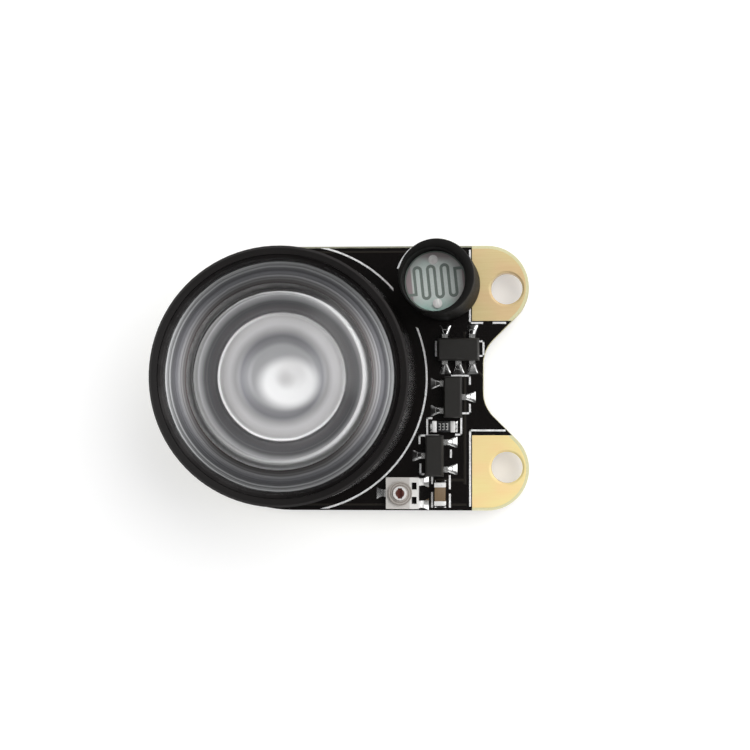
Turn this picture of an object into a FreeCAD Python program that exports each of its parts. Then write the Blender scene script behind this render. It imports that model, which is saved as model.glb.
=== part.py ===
import FreeCAD, Part
import math
import os
import re
import Sketcher

# An infrared light board for a small camera, lying flat with its lens up, sizes in millimetres.
# Origin: midway between the two screw holes, on the underside that is clamped to the camera board.
# +X runs from the lens to the screw ears, +Y to the light sensor's edge, +Z out of the lens.

SIZES = {
    # Board and its two screw ears
    "board_thickness": 1.6,
    "hole_pitch": 12.5,
    "screw_hole_diameter": 2.2,
    "ear_reach": 1.54,
    "ear_shift": 0.12,
    "notch_depth": 1.65,
    "notch_radius": 2.4,
    # Gold lands on both faces, joined by a plated barrel
    "land_thickness": 0.05,
    "plating": 0.05,
    "land_margin": 0.2,
    "land_left": 2.42,
    "land_gap": 0.27,
    # Lens holder and the ring that keeps the lens in
    "board_rim": 0.53,
    "holder_gap": 0.96,
    "holder_height": 9.0,
    "holder_chamfer": 0.15,
    "rim_wall": 0.57,
    "seat_ledge": 0.8,
    "seat_depth": 1.9,
    "ring_set_back": 0.08,
    "ring_thickness": 0.5,
    "ring_width": 0.4,
    "ring_bevel": 0.2,
    "seat_fit": 0.03,
    # Collimating lens
    "flange_width": 1.92,
    "lens_step": 0.2,
    "lens_rise": 1.4,
    "lens_groove": 0.45,
    # The lens's back: a plug below the flange with a groove around it and a crowned bowl in its foot
    "moat_edge": 0.06,
    "moat_reach": 0.31,
    "moat_width": 0.3,
    "moat_round": 0.165,
    "moat_skin": 0.42,
    "plug_draft": 0.14,
    "plug_turn": 0.7,
    "plug_round": 1.6,
    "plug_depth": 1.5,
    "plug_ledge": 0.67,
    "bowl_step": 0.22,
    "bowl_lip": 0.2,
    "bowl_rise": 0.22,
    "bowl_slope": 0.38,
    "bowl_flat": 0.5,
    "back_crown_slope": 0.6,
    "back_crown_radius": 4.3,
    "lens_crown_gap": 0.45,
    # Power diode
    "led_body_radius": 4.0,
    "led_body_height": 1.9,
    "led_body_lift": 0.1,
    "slug_radius": 2.8,
    "slug_step": 1.0,
    "slug_neck": 2.2,
    "slug_height": 1.7,
    "cup_radius": 1.2,
    "cup_depth": 0.25,
    "dome_radius": 2.75,
    "dome_neck": 2.5,
    "dome_rise": 2.45,
    "die_side": 1.0,
    "die_thickness": 0.15,
    "led_lead_width": 1.5,
    "led_lead_thickness": 0.4,
    "led_lead_level": 0.7,
    "led_lead_grip": 0.9,
    "led_lead_span": 6.4,
    "joint_margin": 0.15,
    # Light sensor on its two leads, in a black sleeve
    "cell_x": 4.6,
    "cell_inset": 2.9,
    "cell_lean": 2.4,
    "cell_turn": 6.0,
    "sleeve_radius": 2.585,
    "sleeve_height": 7.0,
    "sleeve_bore": 2.15,
    "sleeve_shift_x": 0.2,
    "sleeve_shift_y": 0.2,
    "disc_radius": 2.1,
    "disc_thickness": 1.8,
    "disc_recess": 2.2,
    "film_thickness": 0.05,
    "film_margin": 0.1,
    "track_pitch": 0.465,
    "track_width": 0.2,
    "track_leg": 1.7,
    "cell_pitch": 3.0,
    "wire_radius": 0.22,
    "wire_head": 0.32,
    "wire_head_height": 0.12,
    "wire_hole_radius": 0.45,
    "wire_tail": 0.45,
    "mound_radius": 0.9,
    "mound_height": 0.55,
    # Small chips with bent leads
    "chip_length": 2.9,
    "driver_width": 1.6,
    "transistor_width": 1.3,
    "chip_height": 1.1,
    "chip_standoff": 0.08,
    "chip_parting": 0.55,
    "chip_draft": 7.0,
    "chip_pitch": 0.95,
    "lead_width": 0.4,
    "lead_thickness": 0.13,
    "lead_shoulder": 0.14,
    "lead_foot": 0.34,
    "driver_x": 3.34,
    "driver_drop": 4.35,
    "upper_transistor_x": 3.74,
    "upper_transistor_drop": 3.33,
    "lower_transistor_x": 5.02,
    "lower_transistor_drop": 2.03,
    # Chip resistor and chip capacitor
    "chip_block_length": 1.6,
    "chip_block_width": 0.8,
    "resistor_height": 0.45,
    "capacitor_height": 0.8,
    "cap_skin": 0.03,
    "cap_wrap": 0.32,
    "resistor_x": 4.4,
    "resistor_drop": 2.07,
    "capacitor_x": 4.64,
    "capacitor_drop": 2.67,
    "capacitor_inset": 1.15,
    # Square trimming resistor with a turning rotor
    "trimmer_x": 7.42,
    "trimmer_inset": 1.21,
    "trimmer_width": 2.2,
    "trimmer_back": 1.0,
    "trimmer_front": 1.29,
    "trimmer_height": 0.62,
    "trimmer_lift": 0.05,
    "window_length": 0.36,
    "window_width": 0.5,
    "window_wall": 0.14,
    "window_gap": 0.5,
    "rotor_radius": 0.84,
    "rotor_thickness": 0.12,
    "rotor_gap": 0.03,
    "crown_radius": 0.5,
    "crown_height": 0.14,
    "slot_width": 0.3,
    "slot_length": 0.72,
    "slot_depth": 0.2,
    "hub_radius": 0.3,
    "rivet_radius": 0.5,
    "rivet_thickness": 0.12,
    "hub_fit": 0.03,
    "tab_width": 0.5,
    "tab_thickness": 0.12,
    "tab_reach": 0.36,
    "tab_spread": 0.78,
    # Solder fillets
    "fillet_length": 0.32,
    "fillet_flare": 0.82,
    "fillet_height": 0.22,
    "fillet_toe": 0.04,
    # Printed legend
    "ink_thickness": 0.02,
    "ink_width": 0.13,
    "ink_gap": 0.14,
    "ink_margin": 0.1,
    "legend_step": 0.34,
    "arc_gap": 0.69,
    "cell_arc_radius": 3.42,
}

# Levels and places that follow from the sizes above. The sensor, the chips and the capacitor stand in
# a row from the upper edge to the lower one, each a drop below the last, and that makes the width.
DERIVED = {
    "upper_drop": "cell_inset + driver_drop + upper_transistor_drop",
    "lower_drop": "resistor_drop + lower_transistor_drop + capacitor_drop + capacitor_inset",
    "board_width": "upper_drop + lower_drop",
    "board_half": "board_width / 2",
    "cell_y": "board_half - cell_inset",
    "driver_y": "cell_y - driver_drop",
    "upper_transistor_y": "driver_y - upper_transistor_drop",
    "resistor_y": "upper_transistor_y - resistor_drop",
    "lower_transistor_y": "resistor_y - lower_transistor_drop",
    "capacitor_y": "capacitor_inset - board_half",
    "trimmer_y": "trimmer_inset - board_half",
    "board_top": "land_thickness + board_thickness",
    "stack_height": "board_top + land_thickness",
    "ear_y": "hole_pitch / 2 + ear_shift",
    "ear_radius": "board_half - ear_y",
    "ear_x": "ear_reach - ear_radius",
    "slant": "sqrt(0.5)",
    "flare_offset": "ear_x - ear_y + ear_radius / slant",
    "notch_flat": "-notch_depth - flare_offset - (1 / slant - 1) * notch_radius",
    "land_radius": "ear_radius - land_margin",
    "land_top": "board_half - land_margin",
    "lead_reach": "lead_shoulder + lead_thickness + lead_foot",
    "land_inner": "driver_y + driver_width / 2 + lead_reach + fillet_length + land_gap",
    "holder_radius": "board_half - board_rim",
    "transistor_reach": "transistor_width / 2 + lead_reach + fillet_length",
    "lens_reach": "upper_transistor_x + transistor_reach + holder_gap + holder_radius",
    "seat_radius": "holder_radius - rim_wall",
    "holder_bore": "seat_radius - seat_ledge",
    "seat_level": "holder_height - seat_depth",
    "ring_top": "holder_height - ring_set_back",
    "flange_top": "ring_top - ring_thickness",
    "lens_outer": "seat_radius - seat_fit",
    "ring_window": "lens_outer - ring_width",
    "lens_aperture": "lens_outer - flange_width",
    "arc_radius": "holder_radius + arc_gap",
    "lens_edge": "flange_top + lens_step",
    "moat_outer": "lens_aperture - moat_reach",
    "moat_inner": "moat_outer - moat_width",
    "moat_level": "lens_edge - moat_skin",
    "plug_radius": "moat_inner - plug_draft",
    "plug_foot": "plug_radius - plug_turn",
    "plug_level": "seat_level - plug_depth",
    "bowl_rim": "plug_foot - plug_ledge",
    "bowl_level": "plug_level + bowl_step",
    "bowl_outer": "bowl_rim - bowl_lip - bowl_slope",
    "bowl_inner": "bowl_outer - bowl_flat",
    "bowl_top": "bowl_level + bowl_rise",
    "crown_reach": "bowl_inner - back_crown_slope",
    "dome_top": "led_body_height + dome_rise",
    "crown_level": "dome_top + lens_crown_gap",
    "crown_square": "back_crown_radius * back_crown_radius",
    "crown_sag": "back_crown_radius - sqrt(crown_square - crown_reach * crown_reach)",
    "cup_floor": "slug_height - cup_depth",
    "led_lead_top": "led_lead_level + led_lead_thickness",
    "led_lead_root": "led_body_radius - led_lead_grip",
    "disc_top": "sleeve_height - disc_recess",
    "film_top": "disc_top + film_thickness",
    "sleeve_lift": "sleeve_radius * tan(cell_lean) + 0.01",
    "wire_end": "board_thickness + wire_tail",
    "lead_level": "chip_standoff + chip_parting",
    "rotor_level": "trimmer_height + rotor_gap",
    "crown_top": "rotor_level + rotor_thickness + crown_height",
    "rivet_room": "rivet_thickness + rotor_gap",
}

NAME = re.compile(r"[a-z_][a-z_0-9]*")
Vector = FreeCAD.Vector
document = FreeCAD.newDocument("infrared_light_board")
sheet = document.addObject("Spreadsheet::Sheet", "Sizes")
pieces = []


def fill_sheet():
    for row, (name, size) in enumerate(SIZES.items(), start=1):
        sheet.set(f"A{row}", name)
        sheet.set(f"B{row}", str(size))
        sheet.setAlias(f"B{row}", name)
    document.recompute()


def bind(text):
    """Turn a formula in plain size names into one that reads the sheet's cells."""
    def swap(match):
        name = match.group(0)
        if name in SIZES:
            return "Sizes." + name
        if name in DERIVED:
            return "(" + bind(DERIVED[name]) + ")"
        return name
    return NAME.sub(swap, text)


def number(text):
    return float(sheet.evalExpression(bind(text)))


def drive(item, **formulas):
    for field, text in formulas.items():
        item.setExpression(field, bind(text))


def put(item, x="0", y="0", z="0", turn="0", tilt="rotation(vector(0; 0; 1); 0)"):
    """Place an object: a turn about +Z first, then a tilt, then the move."""
    spin = f"{tilt} * rotation(vector(0; 0; 1); {turn})"
    item.setExpression("Placement", bind(f"placement(vector({x}; {y}; {z}); {spin})"))


def keep(item, label, **place):
    item.Label = label
    put(item, **place)
    pieces.append(item)


# Shared ways of making a piece


def primitive(kind, name, place=None, **formulas):
    item = document.addObject("Part::" + kind, name)
    drive(item, **formulas)
    put(item, **(place or {}))
    return item


def block(name, x, y, z):
    """A box between three pairs of limits."""
    return primitive("Box", name, {"x": x[0], "y": y[0], "z": z[0]},
                     Length=f"({x[1]}) - ({x[0]})", Width=f"({y[1]}) - ({y[0]})",
                     Height=f"({z[1]}) - ({z[0]})")


def rod(name, radius, z, x="0", y="0"):
    return primitive("Cylinder", name, {"x": x, "y": y, "z": z[0]},
                     Radius=radius, Height=f"({z[1]}) - ({z[0]})")


def combine(kind, name, base, tool):
    item = document.addObject("Part::" + kind, name)
    item.Base = base
    item.Tool = tool
    return item


def cut(name, base, tool):
    return combine("Cut", name, base, tool)


def gather(name, items):
    item = document.addObject("Part::Compound", name)
    item.Links = items
    return item


def new_body(name):
    return document.addObject("PartDesign::Body", name)


def new_sketch(body, name, plane="XY_Plane", lift="0"):
    sketch = body.newObject("Sketcher::SketchObject", name)
    planes = {feature.Role: feature for feature in body.Origin.OriginFeatures}
    sketch.AttachmentSupport = [(planes[plane], "")]
    sketch.MapMode = "FlatFace"
    sketch.setExpression("AttachmentOffset.Base.z", bind(lift))
    return sketch


def pin(sketch, index, place, x, y):
    """Hold one point of a sketch at a place given by two formulas."""
    for axis, text in (("DistanceX", x), ("DistanceY", y)):
        held = sketch.addConstraint(Sketcher.Constraint(axis, -1, 1, index, place, number(text)))
        sketch.setExpression(f"Constraints[{held}]", bind(text))


def side(start, end, radius):
    """A straight side, or an arc whose centre lies left of the way along it (right if negative)."""
    if not radius:
        return Part.LineSegment(start, end)
    chord = end - start
    reach = math.sqrt(max(radius * radius - chord.Length ** 2 / 4, 0.0))
    normal = Vector(-chord.y, chord.x, 0).normalize()
    centre = (start + end) * 0.5 + normal * math.copysign(reach, radius)
    first, last = (start, end) if radius > 0 else (end, start)
    angles = [math.atan2(point.y - centre.y, point.x - centre.x) for point in (first, last)]
    if angles[1] < angles[0]:
        angles[1] += 2 * math.pi
    return Part.ArcOfCircle(Part.Circle(centre, Vector(0, 0, 1), abs(radius)), *angles)


def outline(sketch, corners):
    """A closed outline. A corner is (x, y), or (x, y, radius) where the side after it is an arc."""
    spots = [Vector(number(corner[0]), number(corner[1]), 0) for corner in corners]
    ends = []
    for index, corner in enumerate(corners):
        radius = number(corner[2]) if len(corner) > 2 else 0
        following = spots[(index + 1) % len(spots)]
        sketch.addGeometry(side(spots[index], following, radius), False)
        ends.append((1, 2) if radius >= 0 else (2, 1))
    for index, corner in enumerate(corners):
        after = (index + 1) % len(corners)
        sketch.addConstraint(Sketcher.Constraint("Coincident", index, ends[index][1], after, ends[after][0]))
        pin(sketch, index, ends[index][0], corner[0], corner[1])
        if len(corner) > 2:
            size = abs(number(corner[2]))
            held = sketch.addConstraint(Sketcher.Constraint("Radius", index, size))
            sketch.setExpression(f"Constraints[{held}]", bind(f"abs({corner[2]})"))


def circles(sketch, radius, centres):
    for index, (x, y) in enumerate(centres):
        centre = Vector(number(x), number(y), 0)
        sketch.addGeometry(Part.Circle(centre, Vector(0, 0, 1), number(radius)), False)
        pin(sketch, index, 3, x, y)
        held = sketch.addConstraint(Sketcher.Constraint("Radius", index, number(radius)))
        sketch.setExpression(f"Constraints[{held}]", bind(radius))


def pad(body, sketch, height, both_ways=False):
    feature = body.newObject("PartDesign::Pad", sketch.Name + "_pad")
    feature.Profile = sketch
    feature.SideType = "Symmetric" if both_ways else "One side"
    drive(feature, Length=height)
    return feature


def pocket(body, sketch, depth):
    """Cut upwards from the sketch, and make sure that material went."""
    document.recompute()
    before = body.Shape.Volume
    feature = body.newObject("PartDesign::Pocket", sketch.Name + "_cut")
    feature.Profile = sketch
    feature.Reversed = True
    drive(feature, Length=depth)
    document.recompute()
    if not body.Shape.Volume < before:
        raise RuntimeError(f"{feature.Name} removes nothing")
    return feature


def turned(name, corners):
    """A turned piece: corners are (radius, height) of its half section."""
    body = new_body(name)
    sketch = new_sketch(body, name + "_section", "XZ_Plane")
    outline(sketch, corners)
    feature = body.newObject("PartDesign::Revolution", name + "_turned")
    feature.Profile = sketch
    feature.ReferenceAxis = (sketch, ["V_Axis"])
    feature.Angle = 360
    return body


def bent_strip(body, name, corners, width, shift="0"):
    """A strip of sheet metal: its edge seen along +X, padded to its width."""
    sketch = new_sketch(body, name, "YZ_Plane", shift)
    outline(sketch, corners)
    return pad(body, sketch, width, both_ways=True)


def rectangle(sketch, half_x, half_y):
    """A rectangle about the sketch's origin."""
    left, low = f"-({half_x})", f"-({half_y})"
    outline(sketch, [(left, low), (half_x, low), (half_x, half_y), (left, half_y)])


def slab(name, half_x, half_y, low, height):
    """A flat block about the vertical axis."""
    body = new_body(name)
    plan = new_sketch(body, name + "_plan", lift=low)
    rectangle(plan, half_x, half_y)
    pad(body, plan, height)
    return body


def fillet_wedge(name, width, x, y, turn, flare="fillet_flare", length="fillet_length",
                 height="fillet_height"):
    """Solder that runs out from a lead's end, wider and lower as it goes, along local +Y."""
    return primitive("Wedge", name, {"x": x, "y": y, "turn": turn},
                     Xmin=f"-({width}) / 2", Xmax=f"({width}) / 2", X2min=f"-({flare}) / 2",
                     X2max=f"({flare}) / 2", Ymin="0", Ymax=length, Zmin="0", Zmax=height,
                     Z2min="0", Z2max="fillet_toe")


# Board: black laminate with a round end under the lens and two screw ears


def make_board():
    body = new_body("board")
    plan = new_sketch(body, "board_plan", lift="land_thickness")
    half = "board_half"
    curve = "notch_radius"
    flare_x = "-notch_depth + notch_radius * (1 - slant)"
    flare_y = "notch_flat + notch_radius * slant"
    tip_x = "ear_x + ear_radius * slant"
    tip_y = "ear_y - ear_radius * slant"
    outline(plan, [
        ("-notch_depth", "-notch_flat"),
        ("-notch_depth", "notch_flat", f"-{curve}"),
        (flare_x, flare_y),
        (tip_x, tip_y, "ear_radius"),
        ("ear_reach", "ear_y", "ear_radius"),
        ("ear_x", half),
        ("-lens_reach", half, half),
        (f"-lens_reach - {half}", "0", half),
        ("-lens_reach", f"-({half})"),
        ("ear_x", f"-({half})", "ear_radius"),
        ("ear_reach", "-ear_y", "ear_radius"),
        (tip_x, f"-({tip_y})"),
        (flare_x, f"-({flare_y})", f"-{curve}"),
    ])
    pad(body, plan, "board_thickness")
    screws = new_sketch(body, "screw_holes", lift="land_thickness")
    circles(screws, "screw_hole_diameter / 2 + plating", [("0", "hole_pitch / 2"), ("0", "-hole_pitch / 2")])
    pocket(body, screws, "board_thickness")
    wires = new_sketch(body, "sensor_wire_holes", lift="land_thickness")
    aside = "cell_pitch / 2 * sin(cell_turn)"
    along = "cell_pitch / 2 * cos(cell_turn)"
    circles(wires, "wire_hole_radius", [(f"-cell_x - {aside}", f"cell_y + {along}"),
                                        (f"-cell_x + {aside}", f"cell_y - {along}")])
    pocket(body, wires, "board_thickness")
    keep(body, "circuit_board")


def land_plan(body, name, lift):
    """The ear's outline set in by a margin, with its slanted side run on to the land's left edge."""
    sketch = new_sketch(body, name, lift=lift)
    tip = "land_radius * slant"
    outline(sketch, [
        ("-land_left", f"ear_y - ear_x - land_left - 2 * {tip}"),
        (f"ear_x + {tip}", f"ear_y - {tip}", "land_radius"),
        ("ear_x + land_radius", "ear_y", "land_radius"),
        ("ear_x", "land_top"),
        ("-land_left", "land_top"),
    ])
    return sketch


def make_screw_pad(name, label, **place):
    """Gold land on each face of an ear, joined by the plated wall of the screw hole."""
    body = new_body(name)
    centre = [("0", "hole_pitch / 2")]
    pad(body, land_plan(body, name + "_under", "0"), "land_thickness")
    pad(body, land_plan(body, name + "_over", "board_top"), "land_thickness")
    edge = new_sketch(body, name + "_inner_edge")
    outline(edge, [
        ("-land_left", "0"),
        ("ear_reach", "0"),
        ("ear_reach", "land_inner"),
        ("-land_left", "land_inner"),
    ])
    pocket(body, edge, "stack_height")
    barrel = new_sketch(body, name + "_barrel")
    circles(barrel, "screw_hole_diameter / 2 + plating", centre)
    pad(body, barrel, "stack_height")
    bore = new_sketch(body, name + "_bore")
    circles(bore, "screw_hole_diameter / 2", centre)
    pocket(body, bore, "stack_height")
    keep(body, label, **place)


# Lens, its holder and its ring, on the board's round end


def on_lens_axis():
    return {"x": "-lens_reach", "z": "board_top"}


def make_holder():
    body = turned("holder", [
        ("holder_bore", "0"),
        ("holder_radius", "0"),
        ("holder_radius", "holder_height - holder_chamfer"),
        ("holder_radius - holder_chamfer", "holder_height"),
        ("seat_radius", "holder_height"),
        ("seat_radius", "seat_level"),
        ("holder_bore", "seat_level"),
    ])
    keep(body, "lens_holder", **on_lens_axis())


def make_ring():
    body = turned("ring", [
        ("ring_window", "flange_top"),
        ("lens_outer", "flange_top"),
        ("lens_outer", "ring_top"),
        ("ring_window + ring_bevel", "ring_top"),
        ("ring_window", "ring_top - ring_bevel"),
    ])
    keep(body, "lens_retaining_ring", **on_lens_axis())


def make_lens():
    """Clear lens: domed front, seated flange, and a plug behind it with a crowned bowl over the diode."""
    front = "(lens_aperture * lens_aperture + lens_rise * lens_rise) / (2 * lens_rise)"
    body = turned("lens", [
        ("0", "crown_level", "back_crown_radius"),
        ("crown_reach", "crown_level + crown_sag"),
        ("bowl_inner", "bowl_top"),
        ("bowl_outer", "bowl_top"),
        ("bowl_rim - bowl_lip", "bowl_level"),
        ("bowl_rim", "bowl_level"),
        ("bowl_rim", "plug_level"),
        ("plug_foot", "plug_level", "plug_round"),
        ("plug_radius", "seat_level"),
        ("moat_inner", "moat_level", "-moat_round"),
        ("moat_outer", "moat_level"),
        ("lens_aperture - moat_edge", "seat_level"),
        ("lens_outer", "seat_level"),
        ("lens_outer", "flange_top"),
        ("lens_aperture + lens_groove", "flange_top"),
        ("lens_aperture", "lens_edge", front),
        ("0", "lens_edge + lens_rise"),
    ])
    keep(body, "collimating_lens", **on_lens_axis())


# Power diode under the lens


def make_diode():
    slug = turned("slug", [
        ("0", "0"),
        ("slug_radius", "0"),
        ("slug_radius", "slug_step"),
        ("slug_neck", "slug_step"),
        ("slug_neck", "slug_height"),
        ("cup_radius", "slug_height"),
        ("cup_radius", "cup_floor"),
        ("0", "cup_floor"),
    ])
    keep(slug, "led_heat_slug", **on_lens_axis())

    shell = turned("shell", [
        ("slug_radius", "led_body_lift"),
        ("led_body_radius", "led_body_lift"),
        ("led_body_radius", "led_body_height"),
        ("dome_neck", "led_body_height"),
        ("dome_neck", "slug_height"),
        ("slug_neck", "slug_height"),
        ("slug_neck", "slug_step"),
        ("slug_radius", "slug_step"),
    ])
    slots = new_sketch(shell, "lead_slots", lift="led_lead_level")
    rectangle(slots, "led_lead_width / 2", "led_body_radius")
    pocket(shell, slots, "led_lead_thickness")
    keep(shell, "led_body", **on_lens_axis())

    half = "die_side / 2"
    keep(slab("die", half, half, "cup_floor", "die_thickness"), "led_die", **on_lens_axis())

    dome = turned("dome", [
        ("0", "cup_floor"),
        ("cup_radius", "cup_floor"),
        ("cup_radius", "slug_height"),
        ("dome_neck", "slug_height"),
        ("dome_neck", "led_body_height"),
        ("dome_radius", "led_body_height",
         "(dome_radius * dome_radius + dome_rise * dome_rise) / (2 * dome_rise)"),
        ("0", "dome_top"),
    ])
    room = new_sketch(dome, "die_room", lift="cup_floor")
    rectangle(room, half, half)
    pocket(dome, room, "die_thickness")
    keep(dome, "led_dome", **on_lens_axis())


def make_diode_leads():
    """Flat lead out of the diode's side, bent down to the board and out again to its foot."""
    drop = "led_body_radius + led_lead_thickness"
    profile = [
        ("led_lead_root", "led_lead_level"),
        ("led_body_radius", "led_lead_level"),
        ("led_body_radius", "0"),
        ("led_lead_span", "0"),
        ("led_lead_span", "led_lead_thickness"),
        (drop, "led_lead_thickness"),
        (drop, "led_lead_top"),
        ("led_lead_root", "led_lead_top"),
    ]
    room = "holder_bore - led_lead_span - joint_margin"
    joints = []
    for label, sign, turn in (("led_anode_lead", "", "0"), ("led_cathode_lead", "-", "180")):
        body = new_body(label + "_strip")
        bent_strip(body, label + "_edge", profile, "led_lead_width")
        keep(body, label, turn=turn, **on_lens_axis())
        joints.append(fillet_wedge(label + "_joint", "led_lead_width", "0", f"{sign}led_lead_span", turn,
                                   "led_lead_width", room, "led_lead_thickness"))
    keep(gather("diode_joints", joints), "led_solder", **on_lens_axis())


# Light sensor: a ceramic disc on two wires inside a black sleeve, leaning a little


def on_sensor_axis():
    return {"x": "-cell_x", "y": "cell_y", "z": "board_top", "turn": "cell_turn",
            "tilt": "rotation(vector(-1; -1; 0); cell_lean)"}


def make_sleeve():
    """Tube whose bore lies off its middle, so one wall is thinner."""
    along = "sleeve_shift_x * cos(cell_turn) + sleeve_shift_y * sin(cell_turn)"
    aside = "sleeve_shift_y * cos(cell_turn) - sleeve_shift_x * sin(cell_turn)"
    tube = rod("sleeve_tube", "sleeve_radius", ("sleeve_lift", "sleeve_height"), along, aside)
    bore = rod("sleeve_room", "sleeve_bore", ("0", "sleeve_height + sleeve_lift"))
    keep(cut("sleeve_shell", tube, bore), "sensor_sleeve", **on_sensor_axis())


def make_sensor():
    ends = (("upper", "cell_pitch / 2"), ("lower", "-cell_pitch / 2"))
    wires = {}
    for name, y in ends:
        wires[name] = rod(name + "_wire", "wire_radius", ("-wire_end", "film_top"), y=y)
        head = rod(name + "_wire_head", "wire_head", ("film_top", "film_top + wire_head_height"), y=y)
        keep(combine("Fuse", name + "_wire_whole", wires[name], head), f"sensor_{name}_wire",
             **on_sensor_axis())
    both = gather("wire_pair", list(wires.values()))
    disc = rod("disc_blank", "disc_radius", ("disc_top - disc_thickness", "disc_top"))
    keep(cut("disc", disc, both), "sensor_disc", **on_sensor_axis())
    make_films()
    make_sensor_joints(both, ends)


def make_films():
    """Two comb-shaped metal films on the disc, parted by one winding track."""
    pitch = number("track_pitch")
    width = number("track_width")
    leg = number("track_leg")
    low = number("disc_top")
    thick = number("film_thickness")
    reach = number("disc_radius - film_margin")
    leg_count = 7
    track = []
    for index in range(leg_count):
        x = (index - (leg_count - 1) / 2) * pitch
        track.append(Part.makeBox(width, leg, thick, Vector(x - width / 2, -leg / 2, low)))
        if index == leg_count - 1:
            continue
        end = leg / 2 if index % 2 == 0 else -leg / 2
        middle = Vector(x + pitch / 2, end, low)
        bend = Part.makeCylinder((pitch + width) / 2, thick, middle)
        bend = bend.cut(Part.makeCylinder((pitch - width) / 2, thick, middle))
        half_room = Part.makeBox(2 * pitch, pitch, thick, middle - Vector(pitch, 0 if end > 0 else pitch, 0))
        track.append(bend.common(half_room))
    outward = (leg_count - 1) / 2 * pitch - width / 2
    track.append(Part.makeBox(reach, width, thick, Vector(-outward - reach, -leg / 2, low)))
    track.append(Part.makeBox(reach, width, thick, Vector(outward, leg / 2 - width, low)))
    face = Part.makeCylinder(reach, thick, Vector(0, 0, low))
    for part in track:
        face = face.cut(part)
    films = sorted(face.Solids, key=lambda solid: -solid.Volume)[:2]
    films.sort(key=lambda solid: -solid.CenterOfMass.y)
    for name, film, place in zip(("upper", "lower"), films, ("cell_pitch / 2", "-cell_pitch / 2")):
        item = document.addObject("Part::Feature", name + "_film")
        hole = Part.makeCylinder(number("wire_radius"), thick, Vector(0, number(place), low))
        item.Shape = film.cut(hole)
        keep(item, f"sensor_{name}_film", **on_sensor_axis())


def make_sensor_joints(wires, ends):
    """Solder that fills each wire's hole and ends in a mound under the board."""
    room = gather("wire_space", wires.Links)
    put(room, **on_sensor_axis())
    joints = []
    for name, y in ends:
        sign = "" if name == "lower" else "-"
        x = f"-cell_x + {sign}cell_pitch / 2 * sin(cell_turn)"
        place = f"cell_y + ({y}) * cos(cell_turn)"
        fill = rod(name + "_fill", "wire_hole_radius", ("land_thickness", "board_top"), x, place)
        mound = primitive("Cone", name + "_mound",
                          {"x": x, "y": place, "z": "land_thickness - mound_height"},
                          Radius1="wire_hole_radius", Radius2="mound_radius", Height="mound_height")
        joints.append(cut(name + "_joint", combine("Fuse", name + "_solder", mound, fill), room))
    keep(gather("sensor_joints", joints), "sensor_solder")


# Chips with bent leads, their long side along local X and their leads out to local Y


def make_chip(label, width, rows, place):
    """Moulded body, one strip lead for each place in a row, and solder at each toe."""
    half = f"{width} / 2"
    body = new_body(label + "_mould")
    plan = new_sketch(body, label + "_plan", lift="lead_level")
    rectangle(plan, "chip_length / 2", half)
    mould = pad(body, plan, "chip_height - chip_parting")
    mould.SideType = "Two sides"
    drive(mould, Length2="chip_parting", TaperAngle="-chip_draft", TaperAngle2="-chip_draft")
    keep(body, label + "_body", **place)

    leads = new_body(label + "_strips")
    toe = f"{half} + lead_reach"
    joints = []
    for name, sign, turn, spots in rows:
        knee = f"{half} + lead_shoulder"
        profile = [
            (half, "lead_level - lead_thickness / 2"),
            (knee, "lead_level - lead_thickness / 2"),
            (knee, "0"),
            (toe, "0"),
            (toe, "lead_thickness"),
            (f"{knee} + lead_thickness", "lead_thickness"),
            (f"{knee} + lead_thickness", "lead_level + lead_thickness / 2"),
            (half, "lead_level + lead_thickness / 2"),
        ]
        signed = [(f"{sign}({y})", z) for y, z in profile]
        for count, step in enumerate(spots):
            x = f"{step} * chip_pitch"
            bent_strip(leads, f"{label}_{name}_{count}", signed, "lead_width", x)
            joints.append(fillet_wedge(f"{label}_{name}_{count}_joint", "lead_width", x,
                                       f"{sign}({toe})", turn))
    keep(leads, label + "_leads", **place)
    keep(gather(label + "_joints", joints), label + "_solder", **place)


def make_chips():
    near = ("near", "-", "180")
    far = ("far", "", "0")
    make_chip("driver_chip", "driver_width", [(*near, (-1, 0, 1)), (*far, (-1, 1))],
              {"x": "-driver_x", "y": "driver_y", "z": "board_top"})
    pair = [(*near, (-1, 1)), (*far, (0,))]
    make_chip("upper_transistor", "transistor_width", pair,
              {"x": "-upper_transistor_x", "y": "upper_transistor_y", "z": "board_top", "turn": "-90"})
    make_chip("lower_transistor", "transistor_width", pair,
              {"x": "-lower_transistor_x", "y": "lower_transistor_y", "z": "board_top", "turn": "90"})


# Chip resistor and chip capacitor: a block with a plated cap wrapped over each end


def make_chip_block(label, height, place):
    x = "chip_block_length / 2"
    y = "chip_block_width / 2"
    core = slab(label + "_core", f"{x} - cap_skin", f"{y} - cap_skin", "cap_skin", f"{height} - 2 * cap_skin")
    keep(core, label + "_body", **place)
    caps = []
    joints = []
    for name, low, high, sign, turn in (("left", f"-{x}", f"cap_wrap - {x}", "-", "90"),
                                        ("right", f"{x} - cap_wrap", x, "", "-90")):
        solid = block(f"{label}_{name}_cap", (low, high), (f"-{y}", y), ("0", height))
        room = block(f"{label}_{name}_room", (f"cap_skin - {x}", f"{x} - cap_skin"),
                     (f"cap_skin - {y}", f"{y} - cap_skin"), ("cap_skin", f"{height} - cap_skin"))
        caps.append(cut(f"{label}_{name}_shell", solid, room))
        joints.append(fillet_wedge(f"{label}_{name}_joint", "chip_block_width", f"{sign}({x})", "0", turn,
                                   length="fillet_length / 2"))
    keep(gather(label + "_cap_pair", caps), label + "_end_caps", **place)
    keep(gather(label + "_joints", joints), label + "_solder", **place)


# Trimming resistor: ceramic base, turning rotor riveted through it, and three tabs


def at_trimmer():
    return {"x": "-trimmer_x", "y": "trimmer_y", "z": "board_top"}


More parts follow.
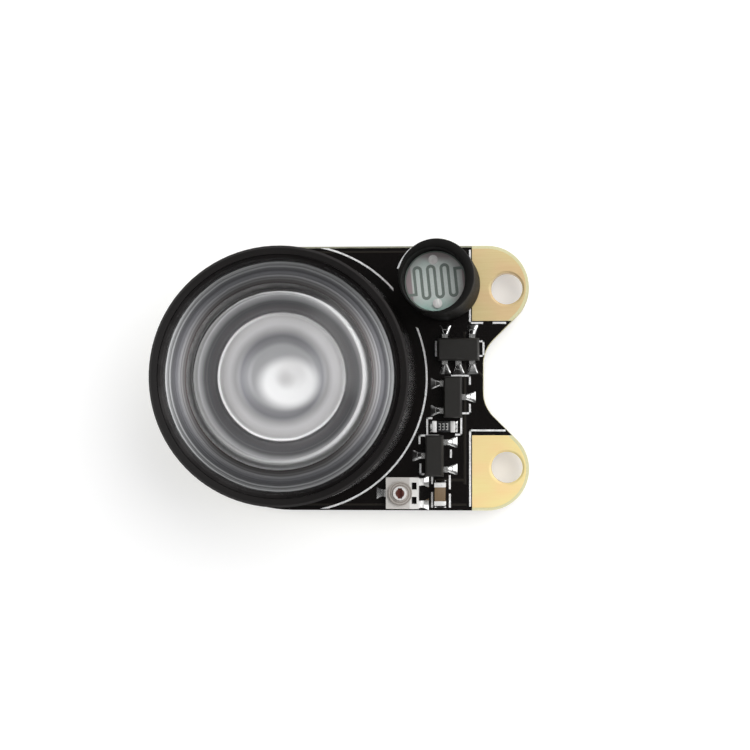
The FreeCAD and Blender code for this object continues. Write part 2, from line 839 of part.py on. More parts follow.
def make_trimmer():
    half = "trimmer_width / 2"
    base = block("trimmer_blank", ("-trimmer_back", "trimmer_front"), (f"-({half})", half),
                 ("trimmer_lift", "trimmer_height"))
    window_end = "trimmer_front - window_wall"
    rooms = [
        rod("hub_room", "hub_radius + hub_fit", ("trimmer_lift", "trimmer_height")),
        rod("rivet_recess", "rivet_radius + hub_fit", ("trimmer_lift", "trimmer_lift + rivet_room")),
        block("upper_window", (f"{window_end} - window_length", window_end),
              ("window_gap / 2", "window_gap / 2 + window_width"), ("trimmer_lift", "trimmer_height")),
        block("lower_window", (f"{window_end} - window_length", window_end),
              ("-window_gap / 2 - window_width", "-window_gap / 2"), ("trimmer_lift", "trimmer_height")),
    ]
    for index, room in enumerate(rooms):
        base = cut(f"trimmer_cut_{index}", base, room)
    keep(base, "trimmer_base", **at_trimmer())

    rivet_top = "trimmer_lift + rivet_thickness"
    rotor = turned("rotor", [
        ("0", "trimmer_lift"),
        ("rivet_radius", "trimmer_lift"),
        ("rivet_radius", rivet_top),
        ("hub_radius", rivet_top),
        ("hub_radius", "rotor_level"),
        ("rotor_radius", "rotor_level"),
        ("rotor_radius", "rotor_level + rotor_thickness"),
        ("crown_radius", "rotor_level + rotor_thickness"),
        ("crown_radius", "crown_top"),
        ("0", "crown_top"),
    ])
    slot = new_sketch(rotor, "driver_slot", lift="crown_top - slot_depth")
    rectangle(slot, "slot_width / 2", "slot_length / 2")
    pocket(rotor, slot, "slot_depth")
    keep(rotor, "trimmer_rotor", **at_trimmer())

    tabs = {"trimmer_end_tabs": [], "trimmer_wiper_tab": []}
    joints = []
    for name, edge, sign, turn, spot, label in (
            ("upper_end", "trimmer_front", "", "-90", "tab_spread", "trimmer_end_tabs"),
            ("lower_end", "trimmer_front", "", "-90", "-tab_spread", "trimmer_end_tabs"),
            ("wiper", "trimmer_back", "-", "90", "0", "trimmer_wiper_tab")):
        tab = new_body(name + "_tab_strip")
        profile = new_sketch(tab, name + "_tab_edge", "XZ_Plane", f"-({spot})")
        outline(profile, [
            (f"{sign}({edge})", "0"),
            (f"{sign}({edge} + tab_reach)", "0"),
            (f"{sign}({edge} + tab_reach)", "tab_thickness"),
            (f"{sign}({edge} + tab_thickness)", "tab_thickness"),
            (f"{sign}({edge} + tab_thickness)", "trimmer_height"),
            (f"{sign}({edge})", "trimmer_height"),
        ])
        pad(tab, profile, "tab_width", both_ways=True)
        tabs[label].append(tab)
        joints.append(fillet_wedge(name + "_tab_joint", "tab_width", f"{sign}({edge} + tab_reach)",
                                   spot, turn))
    for label, items in tabs.items():
        keep(gather(label + "_group", items), label, **at_trimmer())
    keep(gather("trimmer_joints", joints), "trimmer_solder", **at_trimmer())


# White printed legend: frames, brackets and a ring around the holder


LEGEND = {
    ("-driver_x", "driver_y"): [
        (-1.60, -0.42, -1.60, 0.55), (1.72, -0.45, 1.72, 0.57),
        (1.40, 0.57, 1.72, 0.57), (1.40, -0.45, 1.72, -0.45)],
    ("-upper_transistor_x", "upper_transistor_y"): [
        (-0.09, 1.50, 1.17, 1.50), (1.17, 1.50, 1.17, 0.94), (1.17, -0.53, 1.17, -1.13),
        (0.56, -1.13, 1.17, -1.13), (0.56, -1.13, 0.56, -2.62), (0.20, -2.62, 0.56, -2.62)],
    ("-resistor_x", "resistor_y"): [
        (-1.16, 0.60, -1.16, -0.50), (-1.16, 0.60, -0.86, 0.60),
        (-1.70, -0.62, -0.40, -0.62), (-1.70, -0.62, -1.70, -1.15)],
    ("-lower_transistor_x", "lower_transistor_y"): [
        (-1.02, -0.61, -1.02, -1.30), (-1.02, -1.30, -0.80, -1.30), (1.12, 0.37, 1.12, -0.08)],
    ("-capacitor_x", "capacitor_y"): [
        (-0.58, 1.25, -0.58, 0.75), (-0.58, 0.06, -0.58, -0.89),
        (0.66, 1.25, 0.66, 0.40), (0.66, -0.05, 0.66, -0.89)],
    ("-land_left - ink_gap", "land_inner - ink_gap"): [
        (0, 0, 0, 5.05), (0, 0, 0.85, 0), (1.65, 0, 2.45, 0)],
    ("-land_left - ink_gap", "-land_inner + legend_step"): [
        (0, 0, 0, -5.25), (0, 0, 2.42, 0)],
}


def ring_of_ink(name, radius, x, y):
    level = ("board_top", "board_top + ink_thickness")
    outer = rod(name + "_outer", f"{radius} + ink_width / 2", level, x, y)
    return cut(name, outer, rod(name + "_inner", f"{radius} - ink_width / 2", level, x, y))


def make_legend():
    level = ("board_top", "board_top + ink_thickness")
    marks = []
    for (x, y), strokes in LEGEND.items():
        for left, low, right, high in strokes:
            left, right = sorted((left, right))
            low, high = sorted((low, high))
            across = (f"{x} + {left} - ink_width / 2", f"{x} + {right} + ink_width / 2")
            along = (f"{y} + {low} - ink_width / 2", f"{y} + {high} + ink_width / 2")
            marks.append(block(f"ink_{len(marks)}", across, along, level))
    sensor = ("-cell_x + sleeve_shift_x", "cell_y + sleeve_shift_y")
    edge = "board_half - ink_margin"
    room = block("board_room", ("-lens_reach", "0"), (f"-({edge})", edge), level)
    ring = combine("Common", "lens_arc", ring_of_ink("lens_ring", "arc_radius", "-lens_reach", "0"), room)
    clear = rod("sensor_clear", "cell_arc_radius + ink_width", level, *sensor)
    corner = block("arc_corner", (f"{sensor[0]} - 2 * cell_arc_radius", f"{sensor[0]} - cell_arc_radius / 2"),
                   (f"{sensor[1]} + cell_arc_radius / 3", edge), level)
    arc = combine("Common", "sensor_arc", ring_of_ink("sensor_ring", "cell_arc_radius", *sensor), corner)
    keep(gather("ink", [*marks, cut("lens_arc_parted", ring, clear), arc]), "board_legend")


# Making, checking and writing every piece


def check(item):
    faults = [state for state in item.State if state in ("Invalid", "Error")]
    if faults:
        raise RuntimeError(f"{item.Name} is {faults}")


def main():
    fill_sheet()
    make_board()
    make_screw_pad("upper_land", "upper_screw_pad")
    make_screw_pad("lower_land", "lower_screw_pad", z="stack_height", tilt="rotation(vector(1; 0; 0); 180)")
    make_holder()
    make_ring()
    make_lens()
    make_diode()
    make_diode_leads()
    make_sleeve()
    make_sensor()
    make_chips()
    make_chip_block("resistor", "resistor_height", {"x": "-resistor_x", "y": "resistor_y", "z": "board_top"})
    make_chip_block("capacitor", "capacitor_height",
                    {"x": "-capacitor_x", "y": "capacitor_y", "z": "board_top", "turn": "90"})
    make_trimmer()
    make_legend()
    document.recompute()
    for item in document.Objects:
        check(item)
    os.makedirs("parts", exist_ok=True)
    for item in pieces:
        shape = item.Shape
        if shape.isNull() or not shape.isValid() or not shape.Solids:
            raise RuntimeError(f"{item.Label} has no sound shape")
        shape.exportStep(f"parts/{item.Label}.step")
        box = shape.BoundBox
        print(f"{item.Label:26} {len(shape.Solids):3} solids {shape.Volume:9.3f} mm3  x {box.XMin:7.2f} "
              f"{box.XMax:7.2f}  y {box.YMin:6.2f} {box.YMax:6.2f}  z {box.ZMin:5.2f} {box.ZMax:5.2f}")


main()
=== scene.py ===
from math import cos, pi, radians, sin

import bmesh
import bpy
import numpy as np
from mathutils import Matrix, Vector


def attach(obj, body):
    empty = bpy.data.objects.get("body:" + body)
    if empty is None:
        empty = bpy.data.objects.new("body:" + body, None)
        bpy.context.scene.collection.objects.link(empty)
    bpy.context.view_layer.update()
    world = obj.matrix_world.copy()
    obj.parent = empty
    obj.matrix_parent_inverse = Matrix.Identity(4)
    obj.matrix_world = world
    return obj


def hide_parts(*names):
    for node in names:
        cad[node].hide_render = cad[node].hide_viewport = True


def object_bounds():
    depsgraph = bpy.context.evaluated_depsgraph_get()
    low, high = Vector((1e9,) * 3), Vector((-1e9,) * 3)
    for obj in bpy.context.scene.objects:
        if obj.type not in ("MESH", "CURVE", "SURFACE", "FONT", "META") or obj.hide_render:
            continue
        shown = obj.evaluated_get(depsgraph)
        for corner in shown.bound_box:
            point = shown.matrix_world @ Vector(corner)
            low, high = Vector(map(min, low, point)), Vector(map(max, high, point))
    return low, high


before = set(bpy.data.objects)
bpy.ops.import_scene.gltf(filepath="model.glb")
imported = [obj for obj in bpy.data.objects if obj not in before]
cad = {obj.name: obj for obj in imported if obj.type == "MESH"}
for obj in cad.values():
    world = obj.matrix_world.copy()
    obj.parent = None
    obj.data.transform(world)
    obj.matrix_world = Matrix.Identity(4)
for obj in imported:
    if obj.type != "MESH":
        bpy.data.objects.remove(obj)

cad_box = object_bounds()

# Circuit board: a glass laminate routed to its outline, with black solder mask printed over both faces a
# little low, so the pale laminate shows at the edge, around the ears and in a hair along the upper edge.
# The thin tracks under the mask stand up a little and catch the light.

MM = 0.001
BOARD_TOP = 1.65
LAND_INNER = 4.0
LAND_LEFT = 2.42
MASK_EDGE = 9.11
PLY = 0.19
# Where the drawn tracks lie: the pour's edge, the long run, its slanted elbow and the feed.
POUR, POUR_END = (8.80, 8.90), -2.8
RUN_X, RUN_Y = (-3.00, -2.86), (-7.4, 3.2)
ELBOW, ELBOW_X = (-1.62, -1.46), (-2.9, -1.6)
FEED_X, FEED_Y = (-6.2, -3.0), (-7.2, -7.06)


def finish(name, **plain):
    """New material and its shader. Each plain value goes straight on the shader's own socket."""
    made = bpy.data.materials.new(name)
    made.use_nodes = True
    shader = made.node_tree.nodes["Principled BSDF"]
    for socket, value in plain.items():
        shader.inputs[socket.replace("_", " ")].default_value = value
    return made.node_tree, shader, made


def fill(tree, socket, value):
    """Joins the socket to another one, or sets it to a plain value."""
    if isinstance(value, bpy.types.NodeSocket):
        tree.links.new(value, socket)
    else:
        socket.default_value = value


def put(tree, kind, *inputs, **settings):
    """Node of that kind with its settings, its inputs filled in their order, None left as it is."""
    made = tree.nodes.new("ShaderNode" + kind)
    for key, value in settings.items():
        setattr(made, key, value)
    for socket, value in zip(made.inputs, inputs):
        if value is not None:
            fill(tree, socket, value)
    return made


def sums(tree, operation, first, second=0.0, third=0.0, clamp=False):
    """One step of arithmetic on two or three values."""
    return put(tree, "Math", first, second, third, operation=operation, use_clamp=clamp).outputs[0]


def times(tree, first, second):
    return sums(tree, "MULTIPLY", first, second)


def times_plus(tree, first, second, third, clamp=False):
    return sums(tree, "MULTIPLY_ADD", first, second, third, clamp)


def blend_of(tree, share, first, second, kind="MIX"):
    """Colour between the first at share 0 and the second at share 1."""
    made = put(tree, "Mix", data_type="RGBA", blend_type=kind)
    for index, value in ((0, share), (6, first), (7, second)):
        fill(tree, made.inputs[index], value)
    return made.outputs[2]


def tint(red, green, blue):
    return (red, green, blue, 1.0)


def scaled(tree, value, low, high, first=0.0, last=1.0, smooth=False):
    """The value brought from the span low to high onto first to last, and kept within it."""
    kind = "SMOOTHSTEP" if smooth else "LINEAR"
    return put(tree, "MapRange", value, low, high, first, last, interpolation_type=kind).outputs[0]


def band(tree, value, low, high, soft):
    """1 where the value lies between low and high, falling to 0 over a soft width outside them."""
    rise = scaled(tree, value, low - soft, low, smooth=True)
    fall = scaled(tree, value, high, high + soft, 1.0, 0.0, smooth=True)
    return times(tree, rise, fall)


def in_millimetres(tree):
    """The surface point in the part's own frame, in millimetres: the vector and its three shares."""
    place = put(tree, "TexCoord").outputs["Object"]
    vector = put(tree, "VectorMath", place, (1 / MM,) * 3, operation="MULTIPLY").outputs[0]
    parted = put(tree, "SeparateXYZ", vector)
    return vector, *parted.outputs


def upright(tree):
    """How far the surface faces up, from 1 on a top face to -1 on an under face."""
    return put(tree, "SeparateXYZ", put(tree, "NewGeometry").outputs["Normal"]).outputs[2]


def speckle(tree, vector, scale, detail=3.0, roughness=0.5, stretch=(1, 1, 1)):
    """Noise from 0 to 1, with its scale in grains a millimetre along each axis."""
    sized = put(tree, "VectorMath", vector, stretch, operation="MULTIPLY").outputs[0]
    return put(tree, "TexNoise", sized, None, scale, detail, roughness).outputs[0]


def relief(tree, shader, height, strength, distance):
    """Bump from a height between 0 and 1, its full step a distance in millimetres."""
    made = put(tree, "Bump", strength, distance * MM)
    tree.links.new(height, made.inputs["Height"])
    tree.links.new(made.outputs[0], shader.inputs["Normal"])


def paint(tree, shader, colour):
    fill(tree, shader.inputs["Base Color"], colour)


def dress(name, material):
    """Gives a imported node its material."""
    mesh = cad[name].data
    if not mesh.materials:
        mesh.materials.append(material)
    for slot in cad[name].material_slots:
        slot.material = material


board, shader, board_finish = finish("black_mask_on_laminate", Coat_Roughness=0.12, Coat_IOR=1.5,
                                     Specular_IOR_Level=0.3)
place, x, y, z = in_millimetres(board)
aside = sums(board, "ABSOLUTE", y)
flatness = sums(board, "GREATER_THAN", sums(board, "ABSOLUTE", upright(board)), 0.5)
ear = times(board, sums(board, "GREATER_THAN", x, -LAND_LEFT), sums(board, "GREATER_THAN", aside, LAND_INNER))
masked = times(board, flatness, sums(board, "SUBTRACT", 1.0, ear))
skin = speckle(board, place, 1.0, 3.0, 0.6, (2.2, 2.2, 2.2))
printed_to = times_plus(board, skin, 0.06, MASK_EDGE)
bare_edge = scaled(board, sums(board, "SUBTRACT", y, printed_to), -0.01, 0.01, 1.0, 0.0)
masked = times(board, masked, bare_edge)

# Tracks under the mask: a pour with its edge a third of a millimetre in, and runs between the parts.
pour = times(board, band(board, aside, *POUR, 0.04), sums(board, "LESS_THAN", x, POUR_END))
run = times(board, band(board, x, *RUN_X, 0.03), band(board, y, *RUN_Y, 0.05))
elbow = times(board, band(board, sums(board, "ADD", x, y), *ELBOW, 0.03), band(board, x, *ELBOW_X, 0.03))
feed = times(board, band(board, y, *FEED_Y, 0.03), band(board, x, *FEED_X, 0.05))
tracks = sums(board, "MAXIMUM", sums(board, "MAXIMUM", pour, run), sums(board, "MAXIMUM", elbow, feed))
cloth = speckle(board, place, 1.0, 2.0, 0.5, (9, 9, 9))
mask_colour = blend_of(board, skin, tint(0.0034, 0.0028, 0.0026), tint(0.0066, 0.0050, 0.0047))
mask_colour = blend_of(board, tracks, mask_colour, tint(0.017, 0.0145, 0.0115))
plies = times_plus(board, sums(board, "SINE", times(board, z, 2 * pi / PLY)), 0.5, 0.5)
cut_fibre = speckle(board, place, 1.0, 3.0, 0.6, (3.5, 3.5, 22.0))
faint_plies = times_plus(board, plies, 0.22, -0.26)
ply_share = times_plus(board, cut_fibre, 1.3, faint_plies, clamp=True)
ply_colour = blend_of(board, ply_share, tint(0.50, 0.46, 0.27), tint(0.72, 0.68, 0.45))
ear_colour = blend_of(board, cloth, tint(0.62, 0.59, 0.35), tint(0.78, 0.75, 0.49))
ear_colour = blend_of(board, sums(board, "LESS_THAN", x, -LAND_LEFT), ear_colour, tint(0.30, 0.30, 0.22))
laminate = blend_of(board, flatness, ply_colour, ear_colour)
paint(board, shader, blend_of(board, masked, laminate, mask_colour))
fill(board, shader.inputs["Roughness"], scaled(board, masked, 0.0, 1.0, 0.62, 0.27))
fill(board, shader.inputs["Coat Weight"], times(board, masked, 0.35))
weave = times(board, ply_share, sums(board, "SUBTRACT", 1.0, flatness))
height = sums(board, "ADD", times(board, tracks, 0.8), times(board, skin, 0.35))
relief(board, shader, sums(board, "ADD", height, times(board, weave, 0.10)), 0.6, 0.03)
dress("circuit_board", board_finish)

# Screw lands: copper on both faces of each ear and down the hole, plated with thin gold over a brushed
# ground, so fine streaks run along the board. The upper land is coloured darker and browner than the lower.

HOLE_AXIS = (0.0, 6.25, 0.0)
HOLE_LIP = (1.08, 1.26)
NOISE_SPAN = (0.3, 0.7)


def roughen(tree, shader, noise, low, high):
    """Roughness that goes from low to high over the span in which most of the noise lies."""
    fill(tree, shader.inputs["Roughness"], scaled(tree, noise, *NOISE_SPAN, low, high))


def steps_of(tree, value, stops):
    """Colour read off a scale from 0 to 1 with those stops, given as (place, colour)."""
    made = put(tree, "ValToRGB", value)
    scale = made.color_ramp
    while len(scale.elements) < len(stops):
        scale.elements.new(0.5)
    for element, (place, colour) in zip(scale.elements, stops):
        element.position = place
        element.color = colour
    return made.outputs[0]


def shared_group(name, inputs, outputs):
    """Empty shader node group with inputs and outputs given as names with their kinds."""
    group = bpy.data.node_groups.new(name, "ShaderNodeTree")
    for side, sockets in (("INPUT", inputs), ("OUTPUT", outputs)):
        for label, kind in sockets.items():
            group.interface.new_socket(label, in_out=side, socket_type="NodeSocket" + kind)
    return group, group.nodes.new("NodeGroupInput").outputs, group.nodes.new("NodeGroupOutput").inputs


def use_group(tree, group, **values):
    """Places a shared group in a material and gives its outputs."""
    made = tree.nodes.new("ShaderNodeGroup")
    made.node_tree = group
    for label, value in values.items():
        fill(tree, made.inputs[label], value)
    return made.outputs


# The distance from an upright axis, used for every turned or round thing on the board.
axis_group, given, result = shared_group(
    "distance_from_axis", {"Place": "Vector", "Axis": "Vector"}, {"Radius": "Float", "Turn": "Float"})
flat = put(axis_group, "VectorMath", given["Place"], (1, 1, 0), operation="MULTIPLY").outputs[0]
away = put(axis_group, "VectorMath", flat, given["Axis"], operation="SUBTRACT").outputs[0]
fill(axis_group, result["Radius"], put(axis_group, "VectorMath", away, operation="LENGTH").outputs["Value"])
across = put(axis_group, "SeparateXYZ", away).outputs
fill(axis_group, result["Turn"], sums(axis_group, "ARCTAN2", across[1], across[0]))


def from_axis(tree, place, axis):
    """Distance of the place from an upright axis, and its heading around it."""
    return use_group(tree, axis_group, Place=place, Axis=axis)


def gold(name, pale, deep, drift):
    """Brushed gold: noise drawn out twentyfold along the board, over two slow changes of tone.

    The copper rolls over the lip of the screw hole, a fall that follows the distance from its axis.
    """
    tree, shader, made = finish(name, Anisotropic=0.35, Coat_Weight=0.30, Coat_Roughness=0.20)
    wall = scaled(tree, sums(tree, "ABSOLUTE", upright(tree)), 0.2, 0.7, 0.85, 0.08)
    fill(tree, shader.inputs["Metallic"], wall)
    place, x, y, _ = in_millimetres(tree)
    streaks = speckle(tree, place, 1.0, 4.0, 0.62, (0.45, 9.0, 9.0))
    fine = speckle(tree, place, 1.0, 2.0, 0.7, (2.0, 34.0, 20.0))
    clouds = speckle(tree, place, 1.0, 1.0, 0.5, (0.35, 0.55, 0.5))
    colour = blend_of(tree, times_plus(tree, streaks, 0.8, drift, clamp=True), deep, pale)
    warm = steps_of(tree, clouds, [(0.38, tint(1.0, 0.93, 0.90)), (0.62, tint(0.97, 1.0, 0.92))])
    paint(tree, shader, blend_of(tree, 1.0, colour, warm, "MULTIPLY"))
    roughen(tree, shader, fine, 0.34, 0.50)
    either = put(tree, "CombineXYZ", x, sums(tree, "ABSOLUTE", y), 0.0).outputs[0]
    lip = scaled(tree, from_axis(tree, either, HOLE_AXIS)["Radius"], *HOLE_LIP, smooth=True)
    brushed = times_plus(tree, fine, 0.6, streaks)
    relief(tree, shader, times_plus(tree, brushed, 0.04, lip), 1.0, 0.09)
    return made


dress("upper_screw_pad", gold("browner_gold", tint(0.80, 0.65, 0.37), tint(0.68, 0.495, 0.25), 0.16))
dress("lower_screw_pad", gold("pale_gold", tint(0.98, 0.80, 0.41), tint(0.94, 0.71, 0.32), 0.26))

# Power diode: a plated copper slug moulded into a white ring, a bare crystal in the slug's cup, a clear
# silicone dome over it, and two flat leads soldered to the board. It sits under the lens.

DIODE_AXIS = (-15.0, 0.0, 0.0)
FINGER_PITCH = 0.25

# Plated or soldered metal: a slow mottle and a fine one, for tint, gloss and relief alike.
mottle_group, given, result = shared_group(
    "metal_mottle", {"Place": "Vector", "Size": "Float"}, {"Mottle": "Float", "Grain": "Float"})
finer = times(mottle_group, given["Size"], 6.0)
fill(mottle_group, result["Mottle"], speckle(mottle_group, given["Place"], given["Size"], 3.0, 0.55))
fill(mottle_group, result["Grain"], speckle(mottle_group, given["Place"], finer, 2.0, 0.6))


def metal(name, pale, deep, rough, size, metallic, step):
    """Metal whose tint and roughness follow one mottle, with a relief of a step in millimetres."""
    tree, shader, made = finish(name, Metallic=metallic)
    mottle, grain = use_group(tree, mottle_group, Place=in_millimetres(tree)[0], Size=size)
    paint(tree, shader, blend_of(tree, scaled(tree, mottle, *NOISE_SPAN), deep, pale))
    roughen(tree, shader, grain, *rough)
    relief(tree, shader, sums(tree, "ADD", mottle, times(tree, grain, 0.4)), 0.5, step)
    return made


silver_plate = metal("silver_plate", tint(0.90, 0.89, 0.86), tint(0.74, 0.73, 0.69),
                     rough=(0.18, 0.34), size=1.6, metallic=0.95, step=0.01)
tin_plate = metal("matt_tin", tint(0.95, 0.95, 0.94), tint(0.84, 0.83, 0.81),
                  rough=(0.26, 0.42), size=1.8, metallic=0.25, step=0.006)
lead_tin = metal("dipped_lead_tin", tint(0.92, 0.92, 0.91), tint(0.70, 0.69, 0.67),
                 rough=(0.14, 0.24), size=2.2, metallic=0.78, step=0.005)
bright_solder = metal("bright_solder", tint(0.97, 0.97, 0.96), tint(0.80, 0.80, 0.80),
                      rough=(0.08, 0.17), size=1.4, metallic=1.0, step=0.006)
dress("led_heat_slug", silver_plate)
dress("led_anode_lead", tin_plate)
dress("led_cathode_lead", tin_plate)
dress("led_solder", bright_solder)

tree, shader, white_mould = finish("white_mould", Roughness=0.42)
dust = speckle(tree, in_millimetres(tree)[0], 5.0)
paint(tree, shader, blend_of(tree, dust, tint(0.78, 0.77, 0.72), tint(0.90, 0.89, 0.86)))
relief(tree, shader, dust, 0.3, 0.01)
dress("led_body", white_mould)

tree, shader, crystal = finish("bare_crystal", Roughness=0.16, Metallic=0.35)
wrapped = sums(tree, "WRAP", in_millimetres(tree)[2], FINGER_PITCH / 2, -FINGER_PITCH / 2)
fingers = band(tree, sums(tree, "ABSOLUTE", wrapped), 0.0, 0.015, 0.01)
paint(tree, shader, blend_of(tree, fingers, tint(0.10, 0.10, 0.13), tint(0.75, 0.62, 0.36)))
relief(tree, shader, fingers, 0.5, 0.01)
dress("led_die", crystal)


def grey(value):
    return (value, value, value, 1.0)


def clear(name, colour, rough, ior, mirror=0.5):
    """Clear moulding. Lamps reach what is under it, because shadow rays pass straight through."""
    tree, shader, made = finish(name, Base_Color=colour, Roughness=rough, IOR=ior, Transmission_Weight=1.0,
                                Specular_IOR_Level=mirror)
    passing = put(tree, "BsdfTransparent", grey(0.99))
    chosen = put(tree, "MixShader", put(tree, "LightPath").outputs["Is Shadow Ray"],
                 shader.outputs[0], passing.outputs[0])
    tree.links.new(chosen.outputs[0], tree.nodes["Material Output"].inputs[0])
    return made


dress("led_dome", clear("clear_silicone_gel", tint(0.97, 0.98, 0.98), 0.04, 1.41))

# Lens holder and the ring that keeps the lens in: two round black mouldings. The holder stands on the
# board, satin with a fine spark grain, its rim's edge and the left side of its top painted paler as painted
# highlights. The ring inside its rim is smoother, and its left side is painted paler too, a painted
# highlight.

# Radii of the rim's painted edge highlight, the heights above which that highlight and the painted paler side
# show, and that side's heading.
RIM_HIGHLIGHT, RIM_LEVEL, SHEEN_LEVEL, SHEEN_SIDE = (8.56, 8.80), 10.4, 10.3, 195


def facing_share(tree, turn, degrees, power):
    """1 on the side of that heading, falling to 0 on the opposite side."""
    swing = sums(tree, "COSINE", sums(tree, "SUBTRACT", turn, radians(degrees)))
    return sums(tree, "POWER", times_plus(tree, swing, 0.5, 0.5), power)


# Moulded black plastic: spark grain for relief and gloss, and a slow change of shade.
grain_group, given, result = shared_group(
    "mould_grain", {"Place": "Vector", "Grains": "Float"}, {"Height": "Float", "Shade": "Float"})
fill(grain_group, result["Height"], speckle(grain_group, given["Place"], given["Grains"], 4.0, 0.65))
fill(grain_group, result["Shade"], speckle(grain_group, given["Place"], 0.35, 2.0, 0.5))

tree, shader, holder_finish = finish("satin_black_moulding", IOR=1.48, Specular_IOR_Level=0.17)
place, _, _, z = in_millimetres(tree)
pits, cast = use_group(tree, grain_group, Place=place, Grains=9.0)
radius, turn = from_axis(tree, place, DIODE_AXIS)
# A painted highlight: a paler band along the rim's top outer edge.
edge = times(tree, band(tree, radius, *RIM_HIGHLIGHT, 0.05), sums(tree, "GREATER_THAN", z, RIM_LEVEL))
drawn = speckle(tree, place, 1.0, 2.0, 0.5, (6.0, 6.0, 0.25))
colour = blend_of(tree, cast, tint(0.0056, 0.0050, 0.0049), tint(0.0110, 0.0098, 0.0096))
colour = blend_of(tree, times(tree, edge, 0.6), colour, tint(0.019, 0.017, 0.017))
# A painted highlight: the top is painted paler on the side of that heading, toward the left.
above = sums(tree, "GREATER_THAN", z, SHEEN_LEVEL)
holder_sheen = times(tree, facing_share(tree, turn, SHEEN_SIDE, 3.0), above)
colour = blend_of(tree, times(tree, holder_sheen, 0.8), colour, tint(0.022, 0.021, 0.021))
paint(tree, shader, colour)
side = sums(tree, "LESS_THAN", sums(tree, "ABSOLUTE", upright(tree)), 0.3)
matt = scaled(tree, pits, *NOISE_SPAN, 0.40, 0.56)
fill(tree, shader.inputs["Roughness"], times_plus(tree, side, -0.29, matt))
grained = times(tree, pits, times_plus(tree, side, -0.62, 0.7))
relief(tree, shader, times_plus(tree, drawn, 0.1, grained), 0.20, 0.012)
dress("lens_holder", holder_finish)

tree, shader, ring_finish = finish("smooth_black_moulding", IOR=1.48, Specular_IOR_Level=0.22)
place = in_millimetres(tree)[0]
pits, cast = use_group(tree, grain_group, Place=place, Grains=6.0)
turn = from_axis(tree, place, DIODE_AXIS)["Turn"]
black = blend_of(tree, cast, tint(0.0030, 0.0026, 0.0026), tint(0.0070, 0.0058, 0.0058))
# A painted highlight: the left side is painted paler, broken up by the slow random shade.
ring_sheen = times(tree, facing_share(tree, turn, 200, 4.0), scaled(tree, cast, *NOISE_SPAN, 0.3, 1.0))
paint(tree, shader, blend_of(tree, ring_sheen, black, tint(0.040, 0.038, 0.038)))
roughen(tree, shader, cast, 0.22, 0.32)
relief(tree, shader, pits, 0.10, 0.002)
dress("lens_retaining_ring", ring_finish)

# Collimating lens: one clear acrylic moulding with a domed front and a flat flange under the ring. Its
# back is a frosted stepped bowl, and the tones and rings seen through the front are painted on it: painted
# light standing in for the lens's reflections and the image of the diode.

LENS_SPAN = 8.12
LENS_AXIS = Vector((-15.0, 0.0, BOARD_TOP))
APERTURE = 6.2
FRONT_RISE, FRONT_TOP = 1.4, 10.02
FLANGE_UNDER, FLANGE_TOP = 7.1, 8.42
RIDGED_TO, RIDGED_FROM, RIDGE_PITCH, RIDGE_DEPTH = 7.72, 6.66, 0.265, 0.03
AROUND = 192


def curve_through(points, count):
    """Smooth curve through the points, a cubic between each two with slopes from its neighbours."""
    points = np.asarray(points, float)
    chord = np.concatenate([[0], np.cumsum(np.hypot(*np.diff(points, axis=0).T))])
    slope = np.gradient(points, chord, axis=0)
    at = np.linspace(0, chord[-1], count)
    span = np.clip(np.searchsorted(chord, at, side="right") - 1, 0, len(points) - 2)
    width = (chord[span + 1] - chord[span])[:, None]
    t = (at - chord[span])[:, None] / width
    return ((1 + 2 * t) * (1 - t) ** 2 * points[span] + t * (1 - t) ** 2 * width * slope[span]
            + t * t * (3 - 2 * t) * points[span + 1] + t * t * (t - 1) * width * slope[span + 1])


def new_piece(name, corners, faces, materials, chosen=None, sharp=40.0):
    """Mesh object from corner points in millimetres and index faces, smooth except at sharp edges."""
    mesh = bpy.data.meshes.new(name)
    mesh.from_pydata((np.asarray(corners) * MM).tolist(), [], faces)
    for material in materials:
        mesh.materials.append(material)
    if chosen is not None:
        mesh.polygons.foreach_set("material_index", np.asarray(chosen, np.int32))
    mesh.shade_smooth()
    mesh.set_sharp_from_angle(angle=radians(sharp))
    mesh.validate()
    piece = bpy.data.objects.new(name, mesh)
    bpy.context.scene.collection.objects.link(piece)
    return piece


def quads_between(rows, size, around=False):
    """Quads between each row of points and the next, and between the last and the first if around."""
    here = np.arange(size)
    after = (here + 1) % size
    row = np.arange(rows if around else rows - 1)[:, None]
    low, high = row * size, (row + 1) % rows * size
    return np.stack([low + here, low + after, high + after, high + here], axis=-1).reshape(-1, 4).tolist()


def spun(outline, steps):
    """Closed surface turned about an upright axis from an outline whose two ends lie on that axis.

    A ring of points for each radius and height between the ends, quads between rings, triangles to
    the two poles. Points are (radius cos a, radius sin a, height) with a going once round.
    """
    around = np.linspace(0, 2 * pi, steps, endpoint=False)
    ring = outline[1:-1]
    corners = np.stack([ring[:, :1] * np.cos(around), ring[:, :1] * np.sin(around),
                        np.repeat(ring[:, 1:], steps, axis=1)], axis=-1).reshape(-1, 3)
    corners = np.vstack([corners, [0, 0, outline[0, 1]], [0, 0, outline[-1, 1]]])
    here = np.arange(steps)
    after = (here + 1) % steps
    last = (len(ring) - 1) * steps
    first_fan = np.stack([np.full(steps, len(corners) - 2), after, here], axis=-1)
    last_fan = np.stack([np.full(steps, len(corners) - 1), last + here, last + after], axis=-1)
    return corners, [*first_fan.tolist(), *quads_between(len(ring), steps), *last_fan.tolist()]


def turn_outwards(piece):
    """Makes every face of a closed mesh point outwards."""
    shape = bmesh.new()
    shape.from_mesh(piece.data)
    bmesh.ops.recalc_face_normals(shape, faces=shape.faces)
    if shape.calc_volume(signed=True) < 0:
        bmesh.ops.reverse_faces(shape, faces=shape.faces)
    shape.to_mesh(piece.data)
    shape.free()
    return piece


